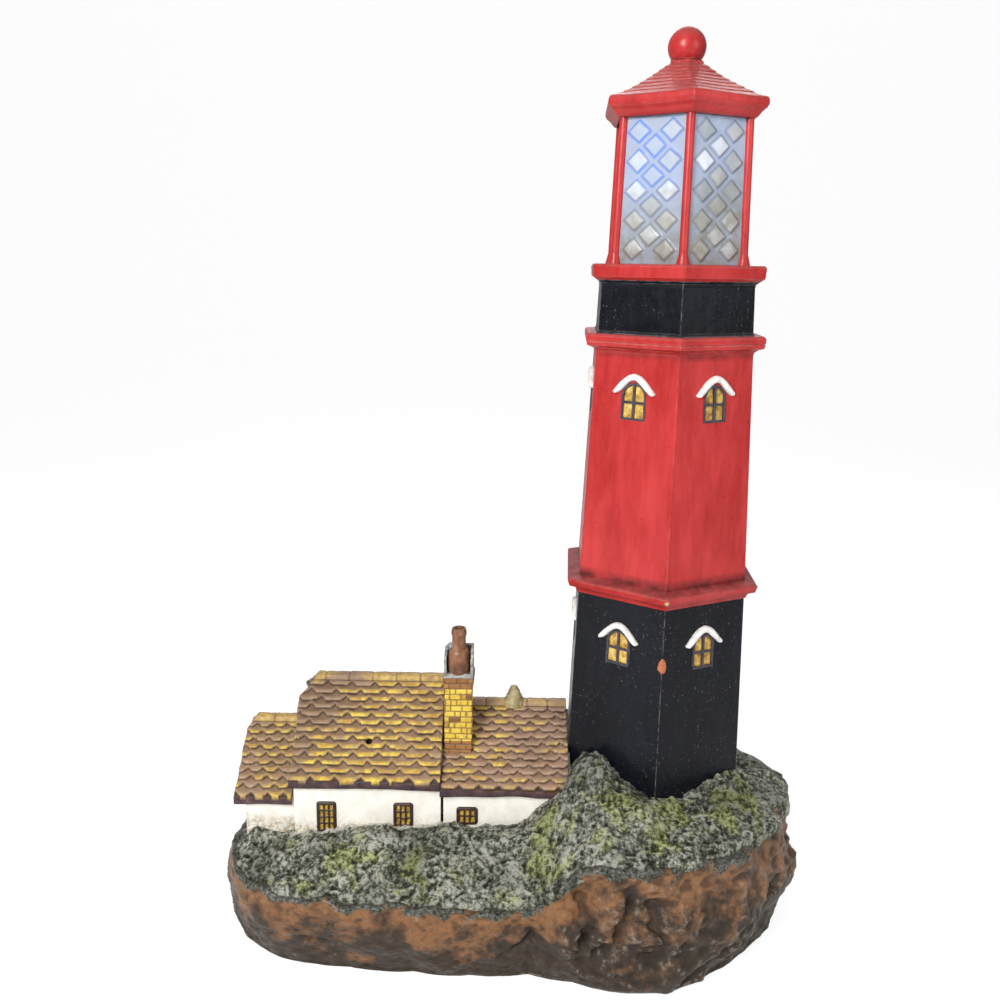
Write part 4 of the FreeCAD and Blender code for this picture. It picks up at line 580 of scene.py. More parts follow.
def rockMaterial(settings):
    # Varnished washes: ochre-brown under the planting, umber below, worn grey along the crests,
    # and painted shade, nearly black, in the hollows and clefts.
    material, tree, shader = newMaterial("rockWash", settings)
    depth = times(attribute(tree, "below"), 1 / 30)
    patches = noise(tree, 17, 5, 0.62)
    fine = noise(tree, 4, 5, 0.7)
    level = plus(depth, times(minus(patches, 0.5), 3.4))
    level = plus(level, times(minus(fine, 0.5), 0.8))
    shade = ramp(level, (0.12, settings["ochre"]), (0.42, settings["brown"]),
                 (0.62, settings["umber"]))
    shade = blend(ramp(noise(tree, 3, 6, 0.7), (0.45, 0.0), (0.7, 0.55)), shade, settings["umber"])
    patina = ramp(noise(tree, 9, 5, 0.65, shift=(0.3, 0.1, 0.2)), (0.60, 0.0), (0.72, 0.5))
    shade = blend(patina, shade, settings["olive"])
    crest = between(attribute(tree, "crest"), 0.12, 0.6)
    paleEdge = times(crest, ramp(noise(tree, 2.2, 5, 0.7), (0.48, 0.0), (0.64, 0.6)))
    shade = blend(paleEdge, shade, settings["worn"])
    # Painted shade: the hollows between the crests and the clefts darkened almost to black.
    hollow = between(attribute(tree, "crest"), -0.04, -0.40)
    dark = calc("MAXIMUM", times(hollow, 0.7), attribute(tree, "crack"))
    shade = blend(times(dark, 0.85), shade, settings["cleftShade"])
    overlap = plus(times(attribute(tree, "below"), -1 / 5), times(noise(tree, 8, 6, 0.75), 3.2))
    overlap = between(overlap, 1.22, 1.36)
    leafy = ramp(noise(tree, 1.3, 4, 0.7), (0.38, 0.010), (0.5, settings["leaf"]), (0.66, 0.17))
    shade = blend(overlap, shade, leafy)
    plug(shade, shader.inputs["Base Color"])
    plug(ramp(noise(tree, 4, 4), (0.3, 0.28), (0.7, 0.55)), shader.inputs["Roughness"])
    height = plus(noise(tree, 5, 6, 0.65), times(noise(tree, 1.2, 4, 0.6), 0.35))
    relief(shader, height, 1.1, 0.7)
    return material


points, faces, values = rockPiece()
makePiece("rockPlinth", points, faces, "ornament", "rock", rockMaterial(dict(
    ochre=(0.235, 0.108, 0.042), brown=(0.120, 0.058, 0.026), umber=(0.040, 0.026, 0.015),
    olive=(0.085, 0.072, 0.045), worn=(0.30, 0.25, 0.20), cleftShade=(0.012, 0.007, 0.005),
    leaf=(0.065, 0.070, 0.047), roughness=0.4, coat=0.15, coatRoughness=0.18,
    specular=0.25)), ["rock_base"], values)

# ---- planting

planting = dict(
    columns=450, rows=205, inset=0.6, edge=1.9, rise=13.0,
    # fresher spots as (x, y, spread)
    fresh=[(14, -35, 7), (12, -50, 8), (44, -40, 9), (56, -52, 8), (66, -38, 9), (98, -26, 11),
           (88, -40, 8), (-70, -44, 8), (-44, -46, 7)],
    # shrubs as (x, y, rise, spread)
    shrubs=[(32, -21, 12, 13), (13, -29, 6, 14), (94, -17, 8, 13), (70, -35, -2, 12),
            (-30, -33, 4, 12), (-62, -35, 5, 11), (-88, -34, 3, 12), (-116, -21, 13, 6),
            (42, 57, 7, 14), (-18, 55, 4, 16), (-78, 53, 4, 14)],
    tower=(62.0, 9.0), towerReach=30.0)


def plantingHeight(x, y, rim):
    # The ground, a rise away from the rim, and a bell-shaped shrub at each listed spot.
    level = groundLevel(x) + planting["edge"] + planting["rise"] * np.clip(
        (1 - rim) / 0.45, 0, 1) ** 0.8
    for spotX, spotY, rise, spread in planting["shrubs"]:
        gap = np.hypot(x - spotX, y - spotY) / spread
        level = level + rise * np.exp(-gap * gap) * np.clip(6 * (1 - rim), 0, 1)
    return level


def plantingPiece():
    # A field of heights between the front and back rims, with tufts, folds and leaves on it,
    # closed below by one face.
    columns, rows = planting["columns"], planting["rows"]
    turn = np.linspace(-np.pi, np.pi, 1441)
    reach = outlineAt(turn)[0] - ground["lipDraw"] - planting["inset"]
    reach = reach + latticeNoise(np.stack([reach * np.cos(turn), reach * np.sin(turn),
                                           turn * 0], -1), 7.0, 5) * 2.2
    rimX, rimY = reach * np.cos(turn), reach * np.sin(turn)
    west, east = rimX.min() + 0.4, rimX.max() - 0.4
    x = np.linspace(west, east, columns)
    low, high = (np.interp(x, *(line[half][np.argsort(rimX[half])] for line in (rimX, rimY)))
                 for half in (rimY < 0, rimY >= 0))
    share = np.linspace(0, 1, rows)[:, None]
    y = low + (high - low) * share
    x = np.broadcast_to(x, y.shape)
    distance = np.hypot(x, y) / np.interp(np.arctan2(y, x), turn, reach)
    rim = np.clip(distance, 0, 1)
    level = plantingHeight(x, y, rim)
    spots = np.stack([x, y, level], -1)
    tufts = latticeNoise(spots, 9.0, 71) * 1.6 + latticeNoise(spots, 4.2, 73) * 1.0
    folds = 1 - 2 * np.abs(latticeNoise(spots, 2.3, 79))
    leaves = latticeNoise(spots, 1.35, 83)
    fade = np.clip(14 * (1 - rim), 0.15, 1)
    rough = tufts + folds * 0.55 + leaves * 0.62
    level = level + rough * fade
    towerX, towerY = planting["tower"]
    inTower = np.hypot(x - towerX, y - towerY) < planting["towerReach"]
    level = np.where(inTower, groundLevel(x), level)
    border = np.ones(x.shape, bool)
    border[1:-1, 1:-1] = False
    level = np.where(border, groundLevel(x) - 1.5, level)
    points = np.stack([x, y, level], -1)
    faces = gridFaces(rows, columns) + [gridRim(rows, columns)]
    tip = folds * 0.5 + leaves * 0.6 + tufts * 0.12
    fresh = sum(np.exp(-((x - spotX) ** 2 + (y - spotY) ** 2) / spread ** 2)
                for spotX, spotY, spread in planting["fresh"])
    return points, faces, dict(tip=tip, fresh=fresh)


def plantingMaterial(settings):
    # Dark green in the pits, grey-white brushed over the tips, fresher green near the tower.
    material, tree, shader = newMaterial("plantingPaint", settings)
    fine = times(minus(noise(tree, 1.3, 4, 0.7), 0.5), 3.4)
    tip = plus(times(attribute(tree, "tip"), 0.75), fine)
    tip = between(tip, -0.80, 0.78)
    cool = ramp(tip, (0.22, settings["pit"]), (0.48, settings["leaf"]),
                (0.66, settings["tipTint"]), (0.85, settings["tipWhite"]))
    fresh = ramp(tip, (0.22, settings["pitGreen"]), (0.50, settings["fresh"]),
                 (0.78, settings["freshTip"]))
    patch = plus(noise(tree, 9, 5, 0.65), times(attribute(tree, "fresh"), 0.22))
    patch = ramp(patch, (0.56, 0.0), (0.70, 0.85))
    shade = blend(patch, cool, fresh)
    dark = ramp(noise(tree, 24, 3, 0.5, shift=(0.1, 0.4, 0.0)), (0.36, 0.45), (0.52, 0.0))
    shade = blend(dark, shade, settings["pit"])
    along = zone(axisOf(tree, "X"), settings["spillRight"])
    along = times(along, zone(axisOf(tree, "X"), settings["spillLeft"]))
    strip = calc("ABSOLUTE", plus(axisOf(tree, "Y"), settings["wallOffset"] * mm))
    strip = zone(strip, settings["spillReach"])
    spilt = plus(times(strip, 0.55), noise(tree, 4, 5, 0.7))
    spilt = times(ramp(spilt, (0.80, 0.0), (0.90, 1.0)), along)
    shade = blend(spilt, shade, settings["plaster"])
    plug(shade, shader.inputs["Base Color"])
    height = plus(noise(tree, 1.3, 4, 0.7), times(noise(tree, 0.6, 3, 0.6), 0.4))
    relief(shader, height, 1.0, 0.9)
    return material


points, faces, values = plantingPiece()
makePiece("plantingBank", points, faces, "ornament", "planting", plantingMaterial(dict(
    pit=(0.012, 0.014, 0.009), leaf=(0.080, 0.086, 0.058), tipTint=(0.21, 0.215, 0.175),
    tipWhite=(0.42, 0.42, 0.36), pitGreen=(0.022, 0.027, 0.008), fresh=(0.16, 0.175, 0.050),
    freshTip=(0.42, 0.44, 0.18), plaster=(0.60, 0.58, 0.52), spillRight=(-28.0, -34.0),
    spillLeft=(-99.0, -96.0), wallOffset=24.5, spillReach=(5.0, 0.0), roughness=0.6,
    specular=0.25)), ["planting_bank"], values)

# ---- roofs: one lapped skin over both slopes and the ridge of each range

roofs = dict(
    main=dict(left=-97.0, right=-32.1, eave=73.4, ridge=105.6, half=34.0, courses=13,
              tiles=6.1, notch=1.9, flat=0.60, clip=6.5, ridgeTile=10.8, seed=100,
              walls=(-96.0, -32.0, -24.0, 40.0), nodes=[
                  "main_roof", "main_roof_tiles", "main_ridge_tiles"]),
    wing=dict(left=-122.0, right=-97.1, eave=63.2, ridge=84.2, half=30.0, courses=10,
              tiles=3.6, notch=1.9, flat=0.36, clip=3.0, ridgeTile=12.0, seed=110,
              walls=(-118.0, -96.0, -20.0, 36.0), nodes=[
                  "wing_roof", "wing_roof_tiles", "wing_ridge_tiles"]),
    link=dict(left=-32.0, right=23.4, eave=70.6, ridge=93.8, half=34.0, courses=12,
              tiles=6.4, notch=1.7, flat=0.50, clip=0.0, ridgeTile=9.4, seed=120,
              walls=(-32.0, 24.5, -24.0, 40.0), nodes=[
                  "link_roof", "link_roof_tiles", "link_ridge_tiles"]))
roofSkin = dict(ridgeY=8.0, drip=1.5, cell=0.34, proud=2.1, least=0.5, round=0.7, thick=2.6,
                crownReach=2.6, crownRise=1.9, hole=(-64.0, 16.4, 1.0))


def tileRelief(x, s, roof, pitch, seed):
    # Height above the deck.  The tile on top is the highest course whose lower edge, notched
    # between tiles, is still below s; its height falls evenly from that edge.
    wobble = latticeNoise(np.stack([x, s, x * 0 + seed * 50], -1), 6.0, seed) * 0.35
    width = (roof["right"] - roof["left"]) / roof["tiles"]

    def lowerEdge(course):
        # Where that course's lower edge lies, the tile's number, and the share of the way from
        # the tile's middle to its side.
        jitter = (cellRandom(course, course * 0 + 3, seed) - 0.5) * 0.3
        spread = (x - roof["left"]) / width + 0.5 * (course % 2) + jitter + wobble * 0.12
        tile = np.floor(spread)
        aside = np.abs(spread - tile - 0.5) * 2
        notch = roof["notch"] * np.clip((aside - roof["flat"]) / (1 - roof["flat"]), 0, 1)
        drop = (cellRandom(course, tile, seed) - 0.5) * 0.5
        return course * pitch + notch + drop + wobble, tile, aside
    course = np.floor(s / pitch)
    edge, tile, aside = lowerEdge(course)
    beneath, tileBeneath, asideBeneath = lowerEdge(course - 1)
    above = lowerEdge(course + 1)[0]
    covered = s >= edge
    inside = np.where(covered, s - edge, s - beneath)
    toNext = np.where(covered, above - s, edge - s)
    number = np.where(covered, tile, tileBeneath)
    row = np.where(covered, course, course - 1)
    tone = cellRandom(row, number, seed + 9)
    shown = row >= 0
    height = roofSkin["proud"] - (roofSkin["proud"] - roofSkin["least"]) * np.clip(
        inside / (pitch * 1.25), 0, 1)
    lipShare = np.clip(inside / roofSkin["round"], 0, 1)
    height = height * (0.62 + 0.38 * np.sqrt(1 - (1 - lipShare) ** 2))
    height = height + (tone - 0.5) * 0.28
    flatPart = 1 - smoothStep(roof["flat"] * 0.9, roof["flat"] + 0.25, np.where(
        covered, aside, asideBeneath))
    # Painted highlight mask: the lower, rounded edge of each tile, strongest on its flat middle.
    lit = (1 - smoothStep(1.1, 2.3, inside)) * (0.25 + 0.75 * flatPart)
    # Painted shadow mask: darkest just under the lower edge of the next course up.
    dark = np.exp(-(np.clip(toNext, 0, None) / 0.7) ** 2)
    return (np.where(shown, height, 0.2), np.where(shown, lit, 0), np.where(shown, dark, 1),
            tone)


def roofPiece(name, roof, seed):
    # The two slopes as one profile across the ridge, carried along X, and closed underneath.
    run = math.hypot(roof["half"], roof["ridge"] - roof["eave"])
    up = np.array([0, roof["half"], roof["ridge"] - roof["eave"]]) / run
    out = np.array([0, -up[2], up[1]])
    pitch = (run + roofSkin["drip"]) / (roof["courses"] + 0.3)
    steps = int(run / roofSkin["cell"])
    columns = int((roof["right"] - roof["left"]) / roofSkin["cell"]) + 1
    s = np.linspace(-roofSkin["drip"], run, steps)[:, None]
    share = np.linspace(0, 1, columns)[None]
    fromTop = (run - s) * up[2]
    verge = latticeNoise(np.stack([s, s * 0, s * 0 + seed], -1), 4.0, 31 + seed) * 0.5
    start = roof["left"] + np.clip(roof["clip"] - fromTop, 0, None) + verge
    x = start + (roof["right"] - start) * share
    s = np.broadcast_to(s, x.shape)
    sheets, marks = [], []
    for side in (-1, 1):
        height, lit, dark, tone = tileRelief(x, s + roofSkin["drip"], roof, pitch, seed + side)
        toRidge = run - s
        joint = np.abs(((x - roof["left"]) / roof["ridgeTile"]) % 1.0 - 0.5) * 2
        reach = roofSkin["crownReach"]
        crown = 0.9 + roofSkin["crownRise"] * np.sqrt(np.clip(1 - (toRidge / reach) ** 2, 0, 1))
        crown = crown - 0.35 * smoothStep(0.90, 0.99, joint)
        onCrown = toRidge < reach
        height = np.where(onCrown, crown, height)
        tone = np.where(onCrown, cellRandom(np.floor((x - roof["left"]) / roof["ridgeTile"]),
                                            x * 0 + 5, seed), tone)
        # On the ridge tiles: a half-strength painted highlight, and painted shade along their
        # lower edges, with dark joints between them.
        lit = np.where(onCrown, 0.5, lit)
        dark = np.where(onCrown, 0.6 * smoothStep(0.90, 0.99, joint)
                        + smoothStep(0.8, 1.0, toRidge / reach), dark)
        here = np.stack([x, s, x * 0 + side * 40], -1)
        height = height + latticeNoise(here, 2.2, seed + 3) * 0.16
        endFade = np.clip((x - start) / 0.9, 0, 1)
        height = height * (0.35 + 0.65 * np.sqrt(endFade))
        hole = np.zeros(x.shape)
        if name == "main" and side < 0:
            holeX, holeS, size = roofSkin["hole"]
            hole = np.clip(1.5 - np.hypot(x - holeX, s - holeS) / size, 0, 1)
            height = height - 2.2 * np.clip(hole * 2, 0, 1)
        base = np.array([0, roofSkin["ridgeY"] - roof["half"], roof["eave"]])
        sheet = base + s[..., None] * up + height[..., None] * out
        sheet[..., 0] = x
        if side > 0:
            sheet[..., 1] = 2 * roofSkin["ridgeY"] - sheet[..., 1]
            sheet, lit, dark, tone, hole = (a[::-1] for a in (sheet, lit, dark, tone, hole))
        sheets.append(sheet)
        marks.append((lit, dark, tone, hole))
    ridgeLine = 0.5 * (sheets[0][-1:] + sheets[1][:1])
    ridgeLine[..., 1] = roofSkin["ridgeY"]
    front, back = sheets[0][:-1], sheets[1][1:]
    level = np.array([0, 0, -roofSkin["thick"]])
    eaveFront = np.array([0, roofSkin["ridgeY"] - roof["half"], roof["eave"]]) - up * (
        roofSkin["drip"] - 0.3) + level
    under = [eaveFront * (1, 0, 1) + (0, 2 * roofSkin["ridgeY"] - eaveFront[1], 0),
             np.array([0, roofSkin["ridgeY"], roof["ridge"]]) + level, eaveFront]
    lines = []
    for spot, source in zip(under, (sheets[1][-1], ridgeLine[0], sheets[0][0])):
        line = np.broadcast_to(spot, source.shape).copy()
        line[:, 0] = source[:, 0]
        lines.append(line[None])
    points = np.concatenate([front, ridgeLine, back] + lines)
    count = len(points)

    def along(index):
        # One mark over the front, ridge and back, with zeros underneath.
        first, second = marks[0][index][:-1], marks[1][index][1:]
        rest = np.zeros((3, columns))
        return np.concatenate([first, marks[0][index][-1:], second, rest])
    values = dict(lit=along(0), dark=along(1), tone=along(2), hole=along(3))
    leftEnd = list(range(0, count * columns, columns))
    rightEnd = [corner + columns - 1 for corner in leftEnd]
    return points, gridFaces(count, columns, wrapRows=True) + [leftEnd, rightEnd[::-1]], values


def tileMaterial(settings):
    # Taupe tiles, darker to the upper left and pinker to the right, with a painted highlight,
    # pale and ochre-yellow, along the lower edges and painted shadow, umber-black, under each
    # course.
    material, tree, shader = newMaterial("tilePaint", settings)
    x, z = axisOf(tree, "X"), axisOf(tree, "Z")
    pinkness = zone(x, settings["pinkZone"])
    shade = blend(pinkness, settings["taupe"], settings["pink"])
    shade = blend(ramp(noise(tree, 7, 5), (0.35, 0.0), (0.65, 0.65)), shade, settings["deep"])
    diagonal = minus(z, x)
    corner = zone(diagonal, settings["shadedZone"])
    inMain = zone(x, settings["mainZone"])
    corner = times(corner, inMain)
    shade = blend(times(corner, 0.6), shade, settings["shaded"])
    tone = attribute(tree, "tone")
    shade = blend(times(tone, 0.35), shade, settings["deep"])
    # Where the painted highlight turns ochre-yellow: more in the roof's middle and on some tiles,
    # less in the upper left.
    reach = noise(tree, 16, 3, shift=(0.2, 0.0, 0.3))
    middle = calc("ABSOLUTE", plus(x, settings["goldOffset"] * mm))
    middle = zone(middle, settings["goldZone"])
    where = plus(times(reach, 1.3), times(middle, 0.35))
    where = minus(where, times(corner, 0.35))
    where = plus(where, times(tone, 0.35))
    tipTint = ramp(where, (0.84, 0.0), (1.0, 1.0))
    # Painted highlight: the tiles' lower edges paler, and ochre-yellow where the share above
    # allows.
    edgeHighlight = times(attribute(tree, "lit"), ramp(noise(tree, 2.0, 4), (0.3, 0.45), (0.6, 1.2)), True)
    shade = blend(times(edgeHighlight, 0.5), shade, settings["paleEdge"])
    ochre = blend(ramp(noise(tree, 3, 3), (0.4, 0.0), (0.6, 1.0)), settings["ochre"],
                  settings["yellow"])
    shade = blend(times(edgeHighlight, tipTint, True), shade, ochre)
    # Painted shadow: umber-black just under the lower edge of each course.
    dark = times(attribute(tree, "dark"), 0.95, True)
    shade = blend(dark, shade, settings["gap"])
    # Painted shade: near-black inside the hole in the main roof.
    hole = times(attribute(tree, "hole"), 3.0, True)
    shade = blend(hole, shade, (0.002, 0.002, 0.002))
    plug(shade, shader.inputs["Base Color"])
    height = plus(noise(tree, 2.4, 4), times(noise(tree, 0.8, 3), 0.4))
    relief(shader, height, 0.4, 0.55)
    return material


# Its painted highlight is pale, then ochre to yellow; its painted shadow is umber-black.
tilePaint = tileMaterial(dict(
    taupe=(0.36, 0.240, 0.150), pink=(0.40, 0.255, 0.185), deep=(0.21, 0.130, 0.072),
    shaded=(0.125, 0.078, 0.050), ochre=(0.50, 0.30, 0.060), yellow=(0.76, 0.56, 0.090),
    paleEdge=(0.50, 0.34, 0.22), gap=(0.030, 0.014, 0.008), pinkZone=(-70.0, -20.0),
    shadedZone=(150.0, 185.0), mainZone=(-97.0, -96.0), goldOffset=60.0, goldZone=(75.0, 8.0),
    roughness=0.45, specular=0.3))
for name, roof in roofs.items():
    points, faces, values = roofPiece(name, roof, roof["seed"])
    makePiece(name + "RoofSkin", points, faces, "ornament", "tile", tilePaint, roof["nodes"],
              values)

# ---- eaves boards

boards = dict(thickness=1.5, height=3.4, wave=0.45, samples=14, stations=90, overhang=0.3,
              gap=0.55, drop=1.0)


def boardPiece(name, roof, seed):
    # A rounded oblong section carried along X, front and back, that wavers and changes height.
    turn = np.linspace(0, 2 * np.pi, boards["samples"], endpoint=False)
    across, tall = (np.sign(wave) * np.abs(wave) ** 0.5 * size / 2 for wave, size in (
        (np.cos(turn), boards["thickness"]), (np.sin(turn), boards["height"])))
    x = np.linspace(roof["left"] - boards["overhang"], roof["right"], boards["stations"])[:, None]
    parts = []
    for side in (-1, 1):
        here = np.stack([x, x * 0 + side * 9, x * 0], -1)
        drop = latticeNoise(here, 11.0, seed) * boards["wave"]
        swell = 1 + latticeNoise(here, 15.0, seed + 2) * 0.22
        y = roofSkin["ridgeY"] + side * (roof["half"] + boards["gap"] + across + 0.2 * drop)
        z = roof["eave"] - boards["drop"] - boards["height"] / 2 + tall * swell + drop
        rings = np.stack(np.broadcast_arrays(x, y, z), -1)
        faces = tubeFaces(boards["stations"], boards["samples"])
        parts.append((rings, turnedOver(faces) if side < 0 else faces))
    makePiece(name + "EavesBoards", *joinGrids(parts), "ornament", "board", boardPaint,
              [name + "_eaves_boards"])


for seed, (name, roof) in enumerate(roofs.items()):
    boardPiece(name, roof, 200 + seed)

# ---- chimney bricks

bricks = dict(left=-31.0, right=-19.0, front=-14.0, back=-2.0, foot=74.0, top=115.6,
              course=2.62, length=4.9, joint=0.34, depth=0.3, perSide=46, rows=150,
              corbel=5.0, spread=0.8)


def chimneyPiece():
    # The four sides unrolled as one strip of brickwork: joints sink, bricks stand at random
    # heights, and the head steps out twice.
    perSide, rows = bricks["perSide"], bricks["rows"]
    columns = 4 * perSide
    along = np.arange(columns) / perSide
    side = np.floor(along).astype(int)
    part = along - side
    width = bricks["right"] - bricks["left"]
    level = np.linspace(bricks["foot"], bricks["top"], rows)[:, None]
    level = np.broadcast_to(level, (rows, columns))
    distance = np.broadcast_to(part * width, level.shape)
    wobble = latticeNoise(np.stack([distance, level, np.broadcast_to(side * 30.0, level.shape)],
                                   -1), 5.0, 7) * 0.18
    course = np.floor((bricks["top"] - level + wobble) / bricks["course"])
    inCourse = (bricks["top"] - level + wobble) / bricks["course"] - course
    offset = 0.5 * (course % 2) + np.broadcast_to(side, level.shape) * 0.5
    offset = offset + 0.18 * (cellRandom(course, course * 0 + 1, 3) - 0.5)
    spread = distance / bricks["length"] + offset
    brick = np.floor(spread)
    halved = cellRandom(course, brick, 5) > 0.72
    inBrick = spread - brick
    inBrick = np.where(halved, (inBrick * 2) % 1, inBrick)
    brickLength = np.where(halved, bricks["length"] / 2, bricks["length"])
    toJoint = np.minimum(np.minimum(inBrick, 1 - inBrick) * brickLength,
                         np.minimum(inCourse, 1 - inCourse) * bricks["course"])
    mortar = 1 - smoothStep(bricks["joint"] * 0.4, bricks["joint"] * 1.3, toJoint)
    half = (spread - brick > 0.5) & halved
    tone = cellRandom(course * 2 + half, brick + np.broadcast_to(side, level.shape) * 40, 8)
    head = bricks["top"] - level
    step = bricks["spread"] * (0.5 * (head < bricks["corbel"]) + 0.5 * (
        head < bricks["corbel"] / 2))
    push = step - bricks["depth"] * mortar + (tone - 0.5) * 0.16
    push = push + latticeNoise(np.stack([distance, level, level * 0], -1), 1.6, 15) * 0.07
    corners = np.array([(bricks["left"], bricks["front"]), (bricks["right"], bricks["front"]),
                        (bricks["right"], bricks["back"]), (bricks["left"], bricks["back"])])
    start, end = corners[side], corners[(side + 1) % 4]
    flat = start + (end - start) * part[:, None]
    normal = np.array([(0, -1), (1, 0), (0, 1), (-1, 0)])[side]
    before = np.array([(-1, 0), (0, -1), (1, 0), (0, 1)])[side]
    mitre = np.where(part[:, None] < 1e-9, normal + before, normal)
    x = flat[:, 0] + mitre[:, 0] * push
    y = flat[:, 1] + mitre[:, 1] * push
    points = np.stack([x, y, level], -1)
    ends = np.zeros(level.shape)
    ends = np.where((head < bricks["corbel"] + 0.3) | (level < 86.0), 1.0, ends)
    return points, tubeFaces(rows, columns), dict(mortar=mortar, tone=tone, ends=ends)


def brickMaterial(settings):
    # Bright yellow bricks with a few brown headers; orange-brown ones at the head and foot.
    material, tree, shader = newMaterial("brickPaint", settings)
    tone = attribute(tree, "tone")
    yellow = ramp(tone, (0.0, settings["yellow"]), (0.55, settings["pale"]),
                  (0.84, settings["yellow"]), (0.90, settings["brown"]))
    browns = ramp(tone, (0.0, settings["brown"]), (0.6, settings["orange"]),
                  (1.0, settings["brown"]))
    edge = plus(attribute(tree, "ends"), times(minus(noise(tree, 5, 3), 0.5), 0.8), True)
    shade = blend(edge, yellow, browns)
    shade = blend(ramp(noise(tree, 2.2, 5), (0.5, 0.0), (0.75, 0.6)), shade, settings["brown"])
    shade = blend(times(attribute(tree, "mortar"), 0.8), shade, settings["joint"])
    plug(shade, shader.inputs["Base Color"])
    relief(shader, noise(tree, 0.9, 4), 0.25, 0.6)
    return material


points, faces, values = chimneyPiece()
makePiece("chimneyBricks", points, faces, "ornament", "brick", brickMaterial(dict(
    yellow=(0.66, 0.43, 0.035), pale=(0.76, 0.55, 0.075), brown=(0.20, 0.078, 0.022),
    orange=(0.36, 0.16, 0.045), joint=(0.115, 0.060, 0.020), roughness=0.45)),
    ["chimney_stack"], values)

# ---- walls, windows and the chimney's cap


walls = dict(foot=35.0, below=2.3, stations=40, perSide=8)


def wallPiece(name, roof):
    # A house-shaped section whose sides waver slightly, carried along X and closed at the ends.
    left, right, front, back = roof["walls"]
    fall = (roof["ridge"] - roof["eave"]) / roof["half"]
    foot, below, stations = walls["foot"], walls["below"], walls["stations"]
    shoulder = roof["eave"] + fall * (roof["half"] - (roofSkin["ridgeY"] - front)) - below
    corners = np.array([(front, foot), (front, shoulder), (roofSkin["ridgeY"],
                        roof["ridge"] - below), (back, shoulder), (back, foot)])
    sides = len(corners) - 1
    share = np.linspace(0, sides, walls["perSide"] * sides + 1)
    y, z = (np.interp(share, np.arange(sides + 1), line) for line in corners.T)
    x = np.linspace(left, right, stations)[:, None]
    clipped = roof["left"] + 1.2 + np.clip(roof["clip"] + 1.0 - (roof["ridge"] - z), 0, None)
    points = np.stack(np.broadcast_arrays(np.maximum(x, clipped), y, z), -1).copy()
    points[..., 1] += latticeNoise(points, 14.0, 5) * 0.25 * (points[..., 2] < shoulder + 0.1)
    faces = tubeFaces(stations, len(y))
    makePiece(name + "Walls", points, turnedOver(faces[:-2]) + faces[-2:], "ornament",
              "cream_wall", creamWall, [name + "_walls"], smooth=False)


for name, roof in roofs.items():
    wallPiece(name, roof)

windows = dict(
    # left, right, foot, head, lights across, lights up, for the front and the back alike
    places=[(-86.2, -77.3, 46.6, 61.4, 3, 4), (-52.7, -43.8, 46.6, 61.4, 3, 4),
            (-25.2, -15.6, 51.2, 59.8, 3, 2)],
    faces=[(-24.0, -1), (40.0, 1)], border=1.15, bar=0.62, proud=0.85, sink=0.75, corner=1.6,
    columns=54, rows=84)


def windowPiece():
    # Each window is a sheet whose height is that of the frame, less a sink in its lights; its
    # outline is a rounded oblong, and its rim turns back into the wall.
    parts, panes = [], []
    size = windows["rows"], windows["columns"]
    corner = windows["corner"]
    for left, right, foot, head, lightsAcross, lightsUp in windows["places"]:
        for wallAt, side in windows["faces"]:
            u = np.linspace(-1, 1, windows["columns"])
            v = np.linspace(-1, 1, windows["rows"])[:, None]
            halfWide, halfTall = (right - left) / 2, (head - foot) / 2
            x = np.broadcast_to(u * halfWide, size)
            z = np.broadcast_to(v * halfTall, x.shape)
            inX = np.clip(np.abs(x) - (halfWide - corner), 0, None)
            inZ = np.clip(np.abs(z) - (halfTall - corner), 0, None)
            squeeze = np.maximum(inX, inZ) / np.maximum(np.hypot(inX, inZ), 1e-6)
            both = (inX > 0) & (inZ > 0)
            x = np.where(both, np.sign(x) * (halfWide - corner + inX * squeeze), x)
            z = np.where(both, np.sign(z) * (halfTall - corner + inZ * squeeze), z)
            edge = np.minimum(halfWide - np.abs(u * halfWide), halfTall - np.abs(v * halfTall))
            here = np.stack([x + left, z + foot, x * 0 + side], -1)
            bent = latticeNoise(here, 2.2, 61) * 0.22
            innerWide, innerTall = halfWide - windows["border"], halfTall - windows["border"]
            across = ((x + bent + innerWide) / (2 * innerWide) * lightsAcross) % 1
            up = ((z + bent + innerTall) / (2 * innerTall) * lightsUp) % 1
            barX = np.minimum(across, 1 - across) * 2 * innerWide / lightsAcross
            barZ = np.minimum(up, 1 - up) * 2 * innerTall / lightsUp
            inside = smoothStep(windows["border"] - 0.2, windows["border"] + 0.2, edge)
            light = inside * smoothStep(0.25, 0.65, np.minimum(barX, barZ) * 0.62
                                        / windows["bar"])
            height = windows["proud"] * np.sqrt(np.clip(edge / 0.7, 0, 1)) - light * (
                windows["sink"]) + bent * 0.4
            height = np.where(edge <= 1e-6, -0.4, height)
            y = wallAt + side * height
            sheet = np.stack([x + (left + right) / 2, y, z + (foot + head) / 2], -1)
            faces = gridFaces(*size) + [gridRim(*size)]
            parts.append((sheet, turnedOver(faces) if side > 0 else faces))
            panes.append(light.ravel())
    points, faces = joinGrids(parts)
    return points, faces, dict(light=np.concatenate(panes))


def windowMaterial(settings):
    # Dark red-brown bars with gold touched into the lights and rubbed over the bars.
    material, tree, shader = newMaterial("cottageWindow", settings)
    frameShade = ramp(noise(tree, 2.4, 4), (0.35, settings["dark"]), (0.68, settings["brown"]))
    gold = ramp(noise(tree, 1.6, 4, 0.65), (0.34, settings["amber"]), (0.60, settings["gold"]))
    light = times(attribute(tree, "light"), ramp(noise(tree, 1.1, 3), (0.32, 0.35), (0.5, 1.0)))
    plug(blend(light, frameShade, gold), shader.inputs["Base Color"])
    relief(shader, noise(tree, 0.8, 4), 0.15, 0.5)
    return material


